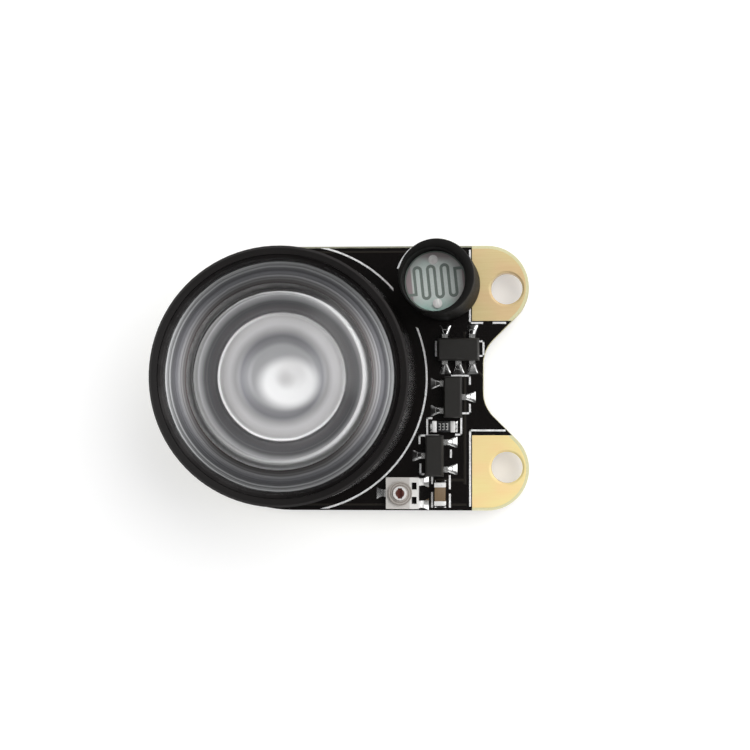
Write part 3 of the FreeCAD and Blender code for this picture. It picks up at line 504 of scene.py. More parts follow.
# The back's own section, radius and height over the board: a crowned bowl, a thin raised ring at its
# edge, the plug's foot, the narrow groove that runs up around the plug, and the flange's underside.
BACK = [
    (0.00, 4.93), (0.28, 4.89), (0.62, 4.80), (1.00, 4.80), (1.45, 4.95), (1.90, 5.20), (2.35, 5.52),
    (2.75, 5.86), (3.05, 6.03), (3.35, 6.05), (3.62, 5.97), (3.80, 5.82), (3.87, 5.78), (3.93, 5.86),
    (3.98, 5.91), (4.04, 5.85), (4.08, 5.66), (4.30, 5.59), (4.70, 5.60), (5.00, 5.76), (5.25, 6.14),
    (5.36, 6.75), (5.42, 7.50), (5.48, 8.12), (5.54, 8.26), (5.63, 8.30), (5.72, 8.26), (5.79, 8.12),
    (5.86, 7.60), (5.94, 7.20), (6.08, 7.10), (6.40, 7.10), (7.20, 7.10), (8.00, 7.10)]
back = curve_through(BACK, 230)

# The front is the cap of a ball over the aperture. Fine grooves run round the flange's top, each as deep
# as the cube of a raised cosine.
front_radius = (APERTURE ** 2 + FRONT_RISE ** 2) / (2 * FRONT_RISE)
sweep = np.linspace(APERTURE, 0, 60)
dome = np.column_stack([sweep, FRONT_TOP - front_radius + np.sqrt(front_radius ** 2 - sweep ** 2)])
ridged = np.linspace(RIDGED_TO, RIDGED_FROM, 60)
wave = 0.5 - 0.5 * np.cos(2 * pi * (ridged - RIDGED_FROM) / RIDGE_PITCH)
flange = np.vstack([[[LENS_SPAN, FLANGE_UNDER], [LENS_SPAN, FLANGE_TOP], [7.74, FLANGE_TOP]],
                    np.column_stack([ridged, FLANGE_TOP - RIDGE_DEPTH * wave ** 3]),
                    [[6.62, 8.43], [6.30, 8.57], [6.24, 8.60]]])
section = np.vstack([back, flange, dome])
corners, faces = spun(section, AROUND)
corners += np.array(LENS_AXIS)

# The back and the flange's top are frosted, the front and the rest of the flange are clear.
ring_of_quad = np.repeat(np.arange(len(section) - 3), AROUND)
on_back = ring_of_quad < len(back) - 1
on_flange = (ring_of_quad > len(back)) & (ring_of_quad < len(back) + len(flange) - 2)
chosen = np.concatenate([np.ones(AROUND), on_back | on_flange, np.zeros(AROUND)])

clear_acrylic = clear("clear_acrylic_moulding", tint(0.985, 0.99, 0.995), 0.015, 1.49, 0.25)

# The frosted back: a grey that changes by radius and, on the outer rings, round the axis as well, all of it
# painted light for the lens's reflections. The core under the crown is painted white, a painted glow.
# Tones by radius in millimetres, from the core out to the great ring.
INNER_TONES = (
    (1.90, 0.43, 0.43, 0.44), (2.15, 0.28, 0.28, 0.29), (2.50, 0.22, 0.22, 0.235),
    (2.85, 0.42, 0.415, 0.42), (3.25, 0.60, 0.59, 0.60), (3.78, 0.60, 0.59, 0.59),
    (3.83, 1.00, 1.00, 1.00), (3.93, 0.98, 0.98, 0.98), (3.99, 0.22, 0.215, 0.22),
    (4.30, 0.12, 0.115, 0.12), (4.62, 0.095, 0.095, 0.10), (4.70, 0.15, 0.15, 0.155),
    (4.76, 0.10, 0.10, 0.105), (4.86, 0.13, 0.13, 0.135), (5.00, 0.30, 0.30, 0.305),
    (5.14, 0.46, 0.46, 0.47), (5.26, 0.66, 0.66, 0.67), (5.34, 1.0, 1.0, 1.0),
    (5.73, 1.0, 1.0, 1.0), (5.77, 0.05, 0.046, 0.046))
# The same beyond the great ring, out to the flange's edge.
OUTER_TONES = (
    (5.84, 0.06, 0.055, 0.055), (5.88, 0.84, 0.82, 0.82), (6.00, 0.88, 0.87, 0.87),
    (6.12, 0.62, 0.60, 0.60), (6.20, 0.20, 0.18, 0.18), (6.30, 0.12, 0.10, 0.10),
    (6.37, 0.26, 0.25, 0.25), (6.43, 0.17, 0.16, 0.16), (6.56, 0.38, 0.375, 0.38),
    (6.63, 0.20, 0.195, 0.20), (6.75, 0.42, 0.42, 0.435), (6.84, 0.25, 0.25, 0.265),
    (6.98, 0.19, 0.19, 0.205), (7.12, 0.13, 0.13, 0.14), (7.26, 0.18, 0.18, 0.19),
    (7.37, 0.50, 0.51, 0.52), (7.45, 0.20, 0.20, 0.205), (7.55, 0.60, 0.61, 0.62),
    (7.66, 0.66, 0.67, 0.68), (7.70, 0.04, 0.04, 0.04))
CORE_DARK, GREAT_RING, FIRST_STEP = (2.10, 2.60), (5.34, 5.76), (5.84, 6.14)
# Rings whose painted light changes on one side: its heading, how tightly they keep to it, their radii and
# soft edge.
EARLY, CLOSING, LATE = (62, 1.5, 4.70, 5.30, 0.12), (122, 2.5, 5.50, 5.80, 0.06), (5, 4.0, 5.62, 5.95, 0.06)
INNER_RING, PAINTED_BRIGHT_STEP = (50, 2.0, 3.82, 3.95, 0.03), (270, 0.8, 5.77, 6.18, 0.05)
# The white core, a painted glow for the diode's bright image: its stretch, its offset from the axis and the
# radii between which it fades.
GLOW_STRETCH, GLOW_OFFSET, GLOW_SPAN = (0.93, 1.14, 1.0), (0.38, -0.37), (1.22, 2.04)
# Two painted darker spots in it, painted shade within the painted glow: offset, the radii between which each
# fades, its most and its shade.
DARK_SPOTS = ((0.48, 0.28, 0.30, 1.35, 0.40, 0.56), (0.15, -0.13, 0.10, 0.75, 0.42, 0.46))


def by_radius(tree, share, tones):
    """Tone read off a table of radius, red, green and blue by the radius as a share of the lens's."""
    return steps_of(tree, share, [(radius / LENS_SPAN, tint(*rgb)) for radius, *rgb in tones])


def one_sided(tree, turn, radius, heading, power, low, high, soft):
    """Share of the ring between two radii, whole on the side of that heading and 0 opposite it."""
    return times(tree, facing_share(tree, turn, heading, power), band(tree, radius, low, high, soft))


def dimmed_by(tree, colour, share):
    """The colour with each of its three numbers multiplied by the share."""
    return blend_of(tree, 1.0, colour, put(tree, "CombineXYZ", share, share, share).outputs[0], "MULTIPLY")


tree, shader, frosted = finish("frosted_back", IOR=1.3)
place = in_millimetres(tree)[0]
radius, turn = from_axis(tree, place, DIODE_AXIS)
ringed = speckle(tree, put(tree, "CombineXYZ", radius, 0.0, 0.0).outputs[0], 3.4, 3.0, 0.6)
cloudy = speckle(tree, place, 0.55, 2.0, 0.5)
waved = sums(tree, "ADD", radius, times_plus(tree, cloudy, 0.10, -0.05))
share = sums(tree, "DIVIDE", waved, LENS_SPAN)

# The great ring begins and ends a little nearer the axis or farther out on some sides.
early = times_plus(tree, one_sided(tree, turn, waved, *CLOSING), 0.9, one_sided(tree, turn, waved, *EARLY))
late = one_sided(tree, turn, waved, *LATE)
early = times_plus(tree, late, -0.45, early)
tone = by_radius(tree, times_plus(tree, early, 0.17 / LENS_SPAN, share), INNER_TONES)

# Shares by which the painted light of the rings is weaker on some sides: the great ring at the left, the
# inner ring toward the upper right. The dark band round the core is painted paler at its left and right ends.
sideways = sums(tree, "POWER", sums(tree, "ABSOLUTE", sums(tree, "COSINE", turn)), 5.0)
leftward = times_plus(tree, facing_share(tree, turn, 12, 1.3), 0.60, -0.60)
dimmed = times_plus(tree, band(tree, waved, *GREAT_RING, 0.12), leftward, 1.0)
inner_ring = one_sided(tree, turn, waved, *INNER_RING)
dimmed = times(tree, dimmed, times_plus(tree, inner_ring, -0.45, 1.0))
dark_band = times(tree, band(tree, waved, *CORE_DARK, 0.30), sideways)
dimmed = times(tree, dimmed, times_plus(tree, dark_band, 0.65, 1.0))
tone = dimmed_by(tree, tone, dimmed)

# Beyond the great ring, the steps are painted palest at the left and right, a painted highlight, over a
# random tone that follows the radius.
least = scaled(tree, waved, 6.60, 6.75, 0.18, 0.32)
least = sums(tree, "MAXIMUM", least, times(tree, band(tree, waved, *FIRST_STEP, 0.06), 0.55))
side_sheen_and_ring_tone = times(tree, scaled(tree, sideways, 0.0, 1.0, least, 1.0),
                scaled(tree, ringed, *NOISE_SPAN, 0.72, 1.28))
outer = dimmed_by(tree, by_radius(tree, share, OUTER_TONES), side_sheen_and_ring_tone)
tone = blend_of(tree, scaled(tree, times_plus(tree, late, -0.07, waved), 5.78, 5.82), tone, outer)
# A painted highlight: the first step beyond the great ring is painted near white on its lower side.
tone = blend_of(tree, times(tree, one_sided(tree, turn, waved, *PAINTED_BRIGHT_STEP), 0.9), tone, grey(0.95))

# Painted light: the white core stands in for the bright image of the diode under the lens.
broad = put(tree, "VectorMath", place, GLOW_STRETCH, operation="MULTIPLY").outputs[0]
glow_axis = (GLOW_STRETCH[0] * (DIODE_AXIS[0] + GLOW_OFFSET[0]), GLOW_STRETCH[1] * GLOW_OFFSET[1], 0.0)
glow_radius = from_axis(tree, broad, glow_axis)["Radius"]
colour = blend_of(tree, scaled(tree, glow_radius, *GLOW_SPAN, 1.0, 0.0, smooth=True), tone, grey(1.0))
for x_off, y_off, near, far, most, shade in DARK_SPOTS:
    spot_radius = from_axis(tree, place, (DIODE_AXIS[0] + x_off, y_off, 0.0))["Radius"]
    dark_spot = scaled(tree, spot_radius, near, far, most, 0.0, smooth=True)
    colour = blend_of(tree, dark_spot, colour, tint(shade, 0.97 * shade, 0.97 * shade))
paint(tree, shader, colour)
roughen(tree, shader, ringed, 0.34, 0.55)
relief(tree, shader, ringed, 0.25, 0.015)

lens = turn_outwards(new_piece("moulded_lens", corners, faces, [clear_acrylic, frosted], chosen, 28.0))
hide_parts("collimating_lens")
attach(lens, "board")

# Light sensor: a ceramic disc whose face carries two comb-shaped metal films, parted by the winding
# track of light-sensitive layer, under a clear varnish. Two tinned wires come up through it.

SENSOR_AXIS = (-4.71, 6.46, 0.0)
SENSOR_TURN = radians(6.0)
LEAN = Matrix.Rotation(radians(2.4), 4, Vector((-1, -1, 0)))
SENSOR_FRAME = Matrix.Translation((-4.6, 6.35, BOARD_TOP)) @ LEAN @ Matrix.Rotation(SENSOR_TURN, 4, "Z")
WIRE_HEADS, HEAD_RADIUS = ((0.0, 1.5, 4.95), (0.0, -1.5, 4.95)), 0.34
# Where the films end, from the sensor's axis: to the left, to the right and at the top.
FILM_LEFT, FILM_RIGHT, FILM_TOP = (-1.66, -1.60), (1.78, 1.84), (1.30, 1.75)
TEAL_LEFT, TEAL_UP, TEAL_LOW = (-6.6, -5.0), (6.3, 7.9), (4.5, 5.6)

tree, shader, film_finish = finish("varnished_film", Coat_Weight=0.5, Coat_Roughness=0.08, Metallic=0.15)
place, x, y, _ = in_millimetres(tree)
radius = from_axis(tree, place, SENSOR_AXIS)["Radius"]
clouds = speckle(tree, place, 0.9, 2.0, 0.5)
powder = speckle(tree, place, 9.0, 3.0, 0.6)
colour = blend_of(tree, powder, tint(0.58, 0.64, 0.61), tint(0.80, 0.86, 0.83))

# The film is coloured teal at the upper left and along the lower edge.
left_teal = times(tree, scaled(tree, x, *TEAL_LEFT, 1.0, 0.0), scaled(tree, y, *TEAL_UP))
low_teal = scaled(tree, y, *TEAL_LOW, 1.0, 0.0, smooth=True)
teal = times(tree, sums(tree, "ADD", left_teal, low_teal, clamp=True),
             scaled(tree, clouds, 0.35, 0.6, 0.35, 1.0))
colour = blend_of(tree, times(tree, teal, 0.8), colour, tint(0.34, 0.66, 0.56))

# The rusty layer shows through toward the rim, and past the films' ends.
axis_step = -SENSOR_AXIS[0] * cos(SENSOR_TURN) - SENSOR_AXIS[1] * sin(SENSOR_TURN)
side_step = times_plus(tree, x, cos(SENSOR_TURN), times_plus(tree, y, sin(SENSOR_TURN), axis_step))
bare_left = scaled(tree, side_step, *FILM_LEFT, 1.0, 0.0)
bare_right = scaled(tree, side_step, *FILM_RIGHT)
bare_top = scaled(tree, y, SENSOR_AXIS[1] + FILM_TOP[0], SENSOR_AXIS[1] + FILM_TOP[1], 0.0, 0.85)
rusty = scaled(tree, radius, 1.35, 2.1, 0.0, 0.55, smooth=True)
rusty = times(tree, rusty, sums(tree, "SUBTRACT", 1.0, low_teal))
for bare in (bare_left, bare_right, bare_top):
    rusty = sums(tree, "MAXIMUM", rusty, times(tree, bare, 0.9))
colour = blend_of(tree, rusty, colour, tint(0.34, 0.26, 0.275))
paint(tree, shader, colour)
roughen(tree, shader, powder, 0.38, 0.55)
relief(tree, shader, powder, 0.3, 0.01)
dress("sensor_upper_film", film_finish)
dress("sensor_lower_film", film_finish)

tree, shader, disc_finish = finish("sensing_layer_on_ceramic", Coat_Weight=0.5, Coat_Roughness=0.08)
powder = speckle(tree, in_millimetres(tree)[0], 8.0, 3.0, 0.6)
upper = scaled(tree, upright(tree), 0.4, 0.7)
layer = blend_of(tree, powder, tint(0.160, 0.200, 0.180), tint(0.250, 0.290, 0.265))
ceramic = blend_of(tree, powder, tint(0.62, 0.58, 0.52), tint(0.74, 0.70, 0.64))
paint(tree, shader, blend_of(tree, upper, ceramic, layer))
roughen(tree, shader, powder, 0.42, 0.6)
relief(tree, shader, powder, 0.3, 0.015)
dress("sensor_disc", disc_finish)

# Each wire ends in a peened head, crowned by a smooth fall from its own axis.
tree, shader, wire_finish = finish("peened_wire_end", Metallic=0.15)
place = in_millimetres(tree)[0]
head_radii = []
for head in WIRE_HEADS:
    head_x, head_y, _ = SENSOR_FRAME @ Vector(head)
    head_radii.append(from_axis(tree, place, (head_x, head_y, 0.0))["Radius"])
crowned = scaled(tree, sums(tree, "MINIMUM", *head_radii), 0.0, HEAD_RADIUS, 1.0, 0.0, smooth=True)
blotches = speckle(tree, place, 2.1, 0.6, 0.4)
share = scaled(tree, blotches, 0.38, 0.52)
paint(tree, shader, blend_of(tree, share, tint(0.84, 0.81, 0.80), tint(1.0, 1.0, 0.98)))
roughen(tree, shader, blotches, 0.14, 0.28)
relief(tree, shader, times_plus(tree, blotches, 0.4, crowned), 0.7, 0.05)
for wire in ("sensor_upper_wire", "sensor_lower_wire"):
    dress(wire, wire_finish)
dress("sensor_solder", bright_solder)

# Sensor's sleeve: black shrink tube cut square and shrunk on, so its lip is rounded, its wall is
# thicker on the far side, and it bulges a little over the disc. It leans with the sensor.

SLEEVE_TOP, SLEEVE_FOOT = 7.0, 0.12
SLEEVE_BORE, SLEEVE_RADIUS, SLEEVE_SHIFT = 2.15, 2.555, (0.2198, 0.1780)
LIP_DEPTH, LIP_START = 0.30, 0.34
BULGE, BULGE_LEVEL, BULGE_REACH = 0.03, 3.9, 1.1


def placed(corners, matrix):
    """The points after that turn and move."""
    turn = np.array(matrix)
    return corners @ turn[:3, :3].T + turn[:3, 3]


tree, shader, sleeve_finish = finish("shrunk_sleeve", IOR=1.45, Specular_IOR_Level=0.06)
pits, cast = use_group(tree, grain_group, Place=in_millimetres(tree)[0], Grains=5.0)
paint(tree, shader, blend_of(tree, cast, tint(0.0060, 0.0058, 0.0056), tint(0.0125, 0.0122, 0.0115)))
roughen(tree, shader, pits, 0.46, 0.60)
relief(tree, shader, pits, 0.3, 0.02)


def lofted(name, loops, materials, around=False, sharp=40.0):
    """Closed surface through a row of closed loops with the same number of points.

    Quads between each loop and the next. The row either ends in two flat faces or, where it goes
    around, joins its last loop to its first.
    """
    count, size = loops.shape[:2]
    here = np.arange(size)
    ends = [] if around else [here[::-1].tolist(), ((count - 1) * size + here).tolist()]
    faces = [*quads_between(count, size, around), *ends]
    return turn_outwards(new_piece(name, loops.reshape(-1, 3), faces, materials, sharp=sharp))


def make_sleeve():
    """Tube between two circles that don't share a middle, its lip half a rounded arch across the wall.

    At angle a the inner wall stands at bore (cos a, sin a) and the outer one at shift + radius (cos a,
    sin a). The section goes up the inside, over the arch and down the outside, and bulges by a small
    bell curve where the disc stretches it.
    """
    a = np.linspace(0, 2 * pi, 144, endpoint=False)[:, None]
    heading = np.stack([np.cos(a), np.sin(a)], axis=-1)
    inner, outer = SLEEVE_BORE * heading, SLEEVE_RADIUS * heading + SLEEVE_SHIFT
    lip = LIP_DEPTH + 0.04 * np.sin(3 * a + 0.6) + 0.02 * np.sin(7 * a)
    arch = np.linspace(0, pi, 15)[None, 1:-1]
    up = np.linspace(SLEEVE_FOOT, SLEEVE_TOP - LIP_START, 12)[None, :] + 0 * a
    share = np.concatenate([np.zeros(12), 0.5 - 0.5 * np.cos(arch[0]), np.ones(12)])[None, :, None]
    height = np.concatenate([up, SLEEVE_TOP - lip * (1 - np.sin(arch)), up[:, ::-1]], axis=1)
    bulge = BULGE * np.exp(-((height - BULGE_LEVEL) / BULGE_REACH) ** 2)[..., None] * share * heading
    flat = inner + share * (outer - inner) + bulge
    loops = placed(np.concatenate([flat, height[..., None]], axis=-1), SENSOR_FRAME)
    return lofted("shrunk_sleeve", loops, [sleeve_finish], around=True)


sleeve = make_sleeve()
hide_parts("sensor_sleeve")
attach(sleeve, "board")

# Chips: black moulded bodies with drafted sides and a parting line, on tinned leads bent down to the
# board. Solder has wetted each foot and run out to the corners of its pad.

CHIP_HALF, CHIP_CORNER = 1.45, 0.05
# Height and inset of the body's sides, which are drafted away from the parting line.
CHIP_SIDES = [(0.08, 0.09), (0.10, 0.068), (0.60, 0.004), (0.63, 0.0), (0.66, 0.004), (1.05, 0.052),
              (1.17, 0.120), (1.18, 0.135)]
LEAD_PITCH = 0.95
FOOT_START, FOOT_END, FOOT_HALF = 0.17, 0.61, 0.23
SOLDER_RUN, SOLDER_HALF, SOLDER_RISE = 0.31, 0.41, 0.26
CORNER_POINTS = 5

tree, shader, chip_finish = finish("moulding_compound", IOR=1.52)
pits = use_group(tree, grain_group, Place=in_millimetres(tree)[0], Grains=16.0)["Height"]
paint(tree, shader, blend_of(tree, pits, tint(0.0085, 0.0078, 0.0068), tint(0.0215, 0.0200, 0.0180)))
roughen(tree, shader, pits, 0.46, 0.62)
relief(tree, shader, pits, 0.4, 0.012)


def rounded_loop(half_x, half_y, corner):
    """Closed outline of a rectangle whose corners are quarter circles, as plane points."""
    angle = np.linspace(0, pi / 2, CORNER_POINTS) + np.arange(4)[:, None] * pi / 2
    middles = np.array([(1, 1), (-1, 1), (-1, -1), (1, -1)]) * (half_x - corner, half_y - corner)
    return (middles[:, None] + corner * np.stack([np.cos(angle), np.sin(angle)], axis=-1)).reshape(-1, 2)


def block_loops(half_x, half_y, levels, corner):
    """Loops of a rounded block at each (height, inset) level."""
    return np.stack([np.insert(rounded_loop(half_x - inset, half_y - inset, corner), 2, height, axis=1)
                     for height, inset in levels])


def wetted_foot(start, end, narrow, wide, height, edge=0.03):
    """Solder run out from a foot: cross-sections along Y, each an arch over its width.

    Half-width goes from narrow to wide by a power of the way, and the arch's height falls from its full
    value at the foot by another power, down to a thin edge. The last sections round the corners off.
    """
    u = np.linspace(0, 1, 14)[:, None]
    v = np.linspace(-1, 1, 15)[None, :]
    half = (narrow + (wide - narrow) * u ** 1.4) * np.where(u > 0.93, 0.90, 1.0)
    crest = edge + height * (1 - u) ** 1.25 * (0.55 + 0.45 * np.clip(u / 0.12, 0, 1))
    top = crest * (1 - 0.80 * np.abs(v) ** 3) * np.where(u > 0.93, 0.75, 1.0)
    x = half * v
    y = start + (end - start) * u + 0 * v
    upper = np.stack([x, y, top], axis=-1)
    lower = upper[:, ::-1] * (1, 1, 0)
    return np.concatenate([upper, lower[:, [0, -1]]], axis=1)


def joined(name, pieces):
    """One object from several finished ones of the same kind."""
    shape = bmesh.new()
    for piece in pieces:
        shape.from_mesh(piece.data)
    shape.to_mesh(pieces[0].data)
    shape.free()
    for piece in pieces[1:]:
        bpy.data.objects.remove(piece)
    pieces[0].name = pieces[0].data.name = name
    return pieces[0]


def seat_at(spot, turn):
    """Move to that spot on the board after a turn in degrees."""
    return Matrix.Translation((*spot, BOARD_TOP)) @ Matrix.Rotation(radians(turn), 4, "Z")


def seated(name, loops, seat, material, sharp):
    """Lofted piece set on the board."""
    return lofted(name, placed(loops, seat), [material], sharp=sharp)


def chip(label, half_width, rows, spot, turn):
    """Body, dressed leads and wetted solder of one chip, turned and set on the board."""
    seat = seat_at(spot, turn)
    loops = block_loops(CHIP_HALF, half_width, CHIP_SIDES, CHIP_CORNER)
    body = seated(label + "_mould", loops, seat, chip_finish, 12)
    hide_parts(label + "_body")
    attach(body, "board")
    dress(label + "_leads", lead_tin)
    foot = wetted_foot(half_width + FOOT_START, half_width + FOOT_END + SOLDER_RUN, FOOT_HALF,
                       SOLDER_HALF, SOLDER_RISE)
    solder = joined(label + "_wetted", [
        seated(label + "_foot", foot * (1, sign, 1) + (place * LEAD_PITCH, 0, 0), seat, bright_solder, 60)
        for sign, places in rows for place in places])
    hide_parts(label + "_solder")
    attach(solder, "board")


chip("driver_chip", 0.80, [(-1, (-1, 0, 1)), (1, (-1, 1))], (-3.34, 2.0), 0)
chip("upper_transistor", 0.65, [(-1, (-1, 1)), (1, (0,))], (-3.74, -1.33), -90)
chip("lower_transistor", 0.65, [(-1, (-1, 1)), (1, (0,))], (-5.02, -5.43), 90)

# Chip resistor and chip capacitor: a fired ceramic block with a plated cap dipped over each end, and a
# small solder fillet up each end. The resistor's top is black glass, the capacitor's body bare tan.

# The three plain digits: their pitch, where they start and end, and their middle across.
DIGIT_PITCH, DIGITS_FROM, DIGITS_TO, DIGITS_MIDDLE = 0.25, -4.775, -4.025, -3.40
GLAZE_LEVEL = BOARD_TOP + 0.38, BOARD_TOP + 0.41
# Place along X and inset of each section of the block and of the cap at one end.
BLOCK = [(-0.74, 0.02), (-0.72, 0.0), (0.72, 0.0), (0.74, 0.02)]
CAP = [(-0.80, 0.05), (-0.79, 0.02), (-0.77, 0.005), (-0.74, 0.0), (-0.51, 0.0), (-0.485, 0.012),
       (-0.48, 0.032)]
BLOCK_HALF, CAP_HALF, CAP_END, CAP_WALL = 0.37, 0.40, 0.80, 0.03

tree, shader, glaze_finish = finish("black_glass_glaze", Roughness=0.30)
place, x, y, z = in_millimetres(tree)
pits = use_group(tree, grain_group, Place=place, Grains=12.0)["Height"]
top_face = scaled(tree, z, *GLAZE_LEVEL)
ceramic = blend_of(tree, pits, tint(0.66, 0.64, 0.60), tint(0.80, 0.78, 0.74))
glaze = blend_of(tree, pits, tint(0.010, 0.010, 0.011), tint(0.022, 0.022, 0.024))
cell = sums(tree, "FRACT", times_plus(tree, x, 1 / DIGIT_PITCH, -DIGITS_FROM / DIGIT_PITCH))
level = sums(tree, "ABSOLUTE", sums(tree, "SUBTRACT", y, DIGITS_MIDDLE))
bars = sums(tree, "MAXIMUM", band(tree, level, 0.19, 0.225, 0.02), band(tree, level, -0.1, 0.02, 0.02))
digit = times(tree, bars, band(tree, cell, 0.20, 0.75, 0.05))
stem = times(tree, band(tree, cell, 0.62, 0.75, 0.05), sums(tree, "LESS_THAN", level, 0.23))
digit = times(tree, sums(tree, "MAXIMUM", digit, stem), band(tree, x, DIGITS_FROM, DIGITS_TO, 0.01))
glaze = blend_of(tree, digit, glaze, tint(0.50, 0.50, 0.49))
paint(tree, shader, blend_of(tree, top_face, ceramic, glaze))
relief(tree, shader, pits, 0.3, 0.01)

tree, shader, tan_finish = finish("fired_tan", Roughness=0.48)
pits = use_group(tree, grain_group, Place=in_millimetres(tree)[0], Grains=14.0)["Height"]
paint(tree, shader, blend_of(tree, pits, tint(0.135, 0.090, 0.050), tint(0.250, 0.175, 0.100)))
relief(tree, shader, pits, 0.4, 0.01)


def chip_block(label, height, body_finish, slot, spot, turn):
    """Ceramic block lofted along X with a rounded cap lofted over each end, and a fillet at each."""
    seat = seat_at(spot, turn)

    def along(sections, half_y, low, high, corner):
        """Loops of rounded cross-sections, each at its place along X with its inset."""
        middle, half_z = (low + high) / 2, (high - low) / 2
        return np.stack([
            np.insert(rounded_loop(half_y - inset, half_z - inset, corner) + (0, middle), 0, at, axis=1)
            for at, inset in sections])

    def both_ends(name, each, loops, material):
        """One piece from the loops and their mirror image at the other end."""
        return joined(label + name, [seated(label + each, loops * (sign, 1, 1), seat, material, 50)
                                     for sign in (1, -1)])

    block = along(BLOCK, BLOCK_HALF, CAP_WALL, height - CAP_WALL, 0.03)
    body = seated(label + "_block", block, seat, body_finish, 50)
    caps = both_ends("_dipped_caps", "_cap", along(CAP, CAP_HALF, 0.0, height, 0.05), tin_plate)
    fillet = wetted_foot(-0.02, 0.17, 0.38, 0.40, height * 0.55, 0.02)[..., [1, 0, 2]] + (CAP_END, 0, 0)
    fillets = both_ends("_wetted", "_fillet", fillet, bright_solder)
    for piece, node, finish_slot in (
            (body, "_body", slot), (caps, "_end_caps", "tin"), (fillets, "_solder", "solder")):
        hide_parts(label + node)
        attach(piece, "board")


chip_block("resistor", 0.45, glaze_finish, "resistor_black", (-4.4, -3.4), 0)
chip_block("capacitor", 0.80, tan_finish, "capacitor_tan", (-4.64, -8.10), 90)

# Trimming resistor: a pale ceramic plate with two windows, its track under a nickel-silver rotor with a
# raised crown, a screwdriver slot and a rivet through the plate. Three plated tabs are soldered down.

TRIMMER_AXIS = (-7.42, -8.04, 0.0)
BRIDGE_EDGE = (-6.80, -6.72)
# Radii of the rotor's rust-brown core, its bright crown and its slot, the slot's level, and the swirl.
CORE, CROWN, SLOT_REACH = (0.27, 0.32), (0.33, 0.47), 0.46
SLOT_LEVEL = BOARD_TOP + 0.72, BOARD_TOP + 0.86
SWIRL_PITCH = 0.16

tree, shader, plate_finish = finish("pale_ceramic", Roughness=0.42)
place, x, _, _ = in_millimetres(tree)
pits = use_group(tree, grain_group, Place=place, Grains=11.0)["Height"]
plate = blend_of(tree, pits, tint(0.46, 0.435, 0.410), tint(0.68, 0.655, 0.625))
bridge = blend_of(tree, pits, tint(0.66, 0.65, 0.63), tint(0.86, 0.85, 0.83))
paint(tree, shader, blend_of(tree, scaled(tree, x, *BRIDGE_EDGE), plate, bridge))
relief(tree, shader, pits, 0.4, 0.012)
dress("trimmer_base", plate_finish)
dress("trimmer_end_tabs", metal("fired_silver", tint(1.0, 1.0, 0.99), tint(0.86, 0.85, 0.83),
                                rough=(0.30, 0.45), size=2.4, metallic=0.12, step=0.006))
dress("trimmer_wiper_tab", lead_tin)
dress("trimmer_solder", bright_solder)

tree, shader, rotor_finish = finish("turned_nickel_silver", Metallic=0.35)
place, _, _, z = in_millimetres(tree)
radius, turn = from_axis(tree, place, TRIMMER_AXIS)
mottle, grain = use_group(tree, mottle_group, Place=place, Size=4.0)
swirl = sums(tree, "SINE", times_plus(tree, radius, 2 * pi / SWIRL_PITCH, turn))
swirled = times_plus(tree, swirl, 0.5, 0.5)
metal_tone = blend_of(tree, swirled, tint(0.34, 0.30, 0.27), tint(0.58, 0.54, 0.50))
metal_tone = blend_of(tree, band(tree, radius, *CROWN, 0.03), metal_tone, tint(0.97, 0.94, 0.92))
core_tone = blend_of(tree, mottle, tint(0.045, 0.018, 0.015), tint(0.230, 0.080, 0.062))
metal_tone = blend_of(tree, scaled(tree, radius, *CORE, 1.0, 0.0), metal_tone, core_tone)
# Inside the slot, below its level, the rotor is painted a dark red-brown: painted shade in the slot, over the
# core's brown.
deep = scaled(tree, z, *SLOT_LEVEL, 1.0, 0.0)
inside = times(tree, deep, sums(tree, "LESS_THAN", radius, SLOT_REACH))
paint(tree, shader, blend_of(tree, inside, metal_tone, tint(0.16, 0.045, 0.035)))
roughen(tree, shader, grain, 0.22, 0.38)
relief(tree, shader, sums(tree, "ADD", swirled, grain), 0.4, 0.012)
dress("trimmer_rotor", rotor_finish)

# Printed legend: white ink screened on the mask in thin strokes, a little uneven in cover.

tree, shader, ink_finish = finish("white_ink", Roughness=0.55)
cover = speckle(tree, in_millimetres(tree)[0], 7.0, 3.0, 0.6)
paint(tree, shader, blend_of(tree, scaled(tree, cover, 0.35, 0.6), grey(0.62), grey(0.93)))
relief(tree, shader, cover, 0.3, 0.01)
dress("board_legend", ink_finish)

# The studio: a pale floor, a large soft lamp high at the upper right, a small one overhead, a wide fill
# from the left, and pale walls that fade to a dim ceiling, so black faces keep dark. The camera hangs
# over the ears' side of the board and looks down at its middle.

FLOOR_REACH, FLOOR_DROP, FLOOR_GLOW = 4.0, 0.00001, 0.42
# Tones of the walls from the floor's level to overhead, and the heading of the bright window in them.
WALLS = ((0.0, 0.95), (0.40, 0.85), (0.70, 0.36), (0.88, 0.10), (1.0, 0.05))
WINDOW = Vector((0.62, 0.34, 0.70)).normalized()
LIT_SPOT = Vector((-0.010, 0.0, 0.0))


def seen_in(tree):
    """1 where the camera, a gloss or clear glass looks, 0 where only light comes from."""
    path = put(tree, "LightPath").outputs
    mirrored = sums(tree, "ADD", path["Is Glossy Ray"], path["Is Transmission Ray"], clamp=True)
    return sums(tree, "ADD", path["Is Camera Ray"], mirrored, clamp=True)


tree, shader, floor_finish = finish("pale_floor", Roughness=0.9, Base_Color=grey(0.66),
                                    Specular_IOR_Level=0.2, Emission_Color=grey(1.0))
fill(tree, shader.inputs["Emission Strength"], times(tree, seen_in(tree), FLOOR_GLOW))
reach, level = FLOOR_REACH / MM, (cad_box[0].z - FLOOR_DROP) / MM
corners = [(a * reach, b * reach, level) for a, b in ((-1, -1), (1, -1), (1, 1), (-1, 1))]
floor = new_piece("floor", corners, [(0, 1, 2, 3)], [floor_finish])

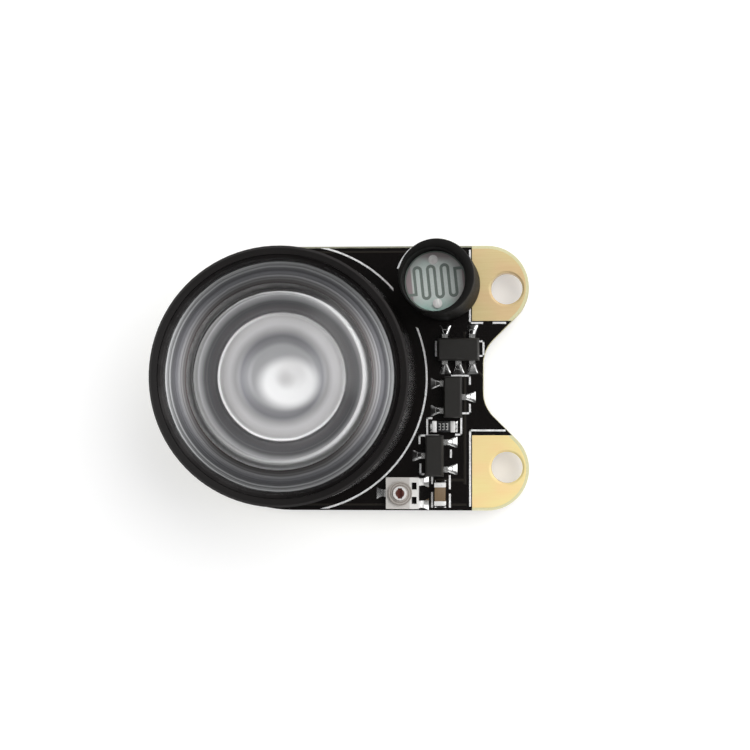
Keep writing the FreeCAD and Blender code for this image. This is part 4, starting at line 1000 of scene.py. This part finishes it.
world = bpy.data.worlds.new("studio_walls")
world.use_nodes = True
bpy.context.scene.world = world
tree = world.node_tree
heading = put(tree, "TexCoord").outputs["Generated"]
rise = put(tree, "SeparateXYZ", heading).outputs[2]
walls = steps_of(tree, rise, [(level, grey(tone)) for level, tone in WALLS])
toward = put(tree, "VectorMath", heading, WINDOW, operation="DOT_PRODUCT").outputs["Value"]
window = scaled(tree, toward, 0.80, 0.94, smooth=True)
walls = blend_of(tree, window, walls, grey(1.0))
seen = blend_of(tree, put(tree, "LightPath").outputs["Is Camera Ray"], walls, grey(1.0))
fill(tree, tree.nodes["Background"].inputs["Color"], seen)
fill(tree, tree.nodes["Background"].inputs["Strength"], times_plus(tree, window, 0.75, 1.0))


def lamp(name, place, power, width, height):
    """Rectangular soft lamp turned to the board."""
    light = bpy.data.lights.new(name, "AREA")
    light.shape = "RECTANGLE"
    light.energy, light.size, light.size_y = power, width, height
    lit = bpy.data.objects.new(name, light)
    lit.visible_glossy = False
    lit.location = place
    lit.rotation_mode = "QUATERNION"
    lit.rotation_quaternion = (LIT_SPOT - Vector(place)).to_track_quat("-Z", "Y")
    bpy.context.scene.collection.objects.link(lit)


lamp("key_softbox", (0.34, 0.26, 0.52), 2.40, 0.80, 0.60)
lamp("top_fill", (0.02, 0.02, 0.45), 0.24, 0.30, 0.30)
lamp("left_fill", (-0.45, 0.00, 0.40), 0.60, 0.40, 0.30)

EYE = Vector((0.002957, -0.002240, 0.162228))
AIM = Vector((-0.0092265, 0.0002233, 0.00165))
lens_view = bpy.data.cameras.new("camera")
lens_view.sensor_width = 36.0
lens_view.lens = 110.21
lens_view.clip_start = 0.005
camera = bpy.data.objects.new("camera", lens_view)
back = (EYE - AIM).normalized()
right = Vector((0, 1, 0)).cross(back).normalized()
camera.location = EYE
camera.rotation_mode = "QUATERNION"
camera.rotation_quaternion = Matrix((right, back.cross(right), back)).transposed().to_quaternion()
bpy.context.scene.collection.objects.link(camera)
bpy.context.scene.camera = camera
bpy.context.scene.view_settings.view_transform = "Standard"
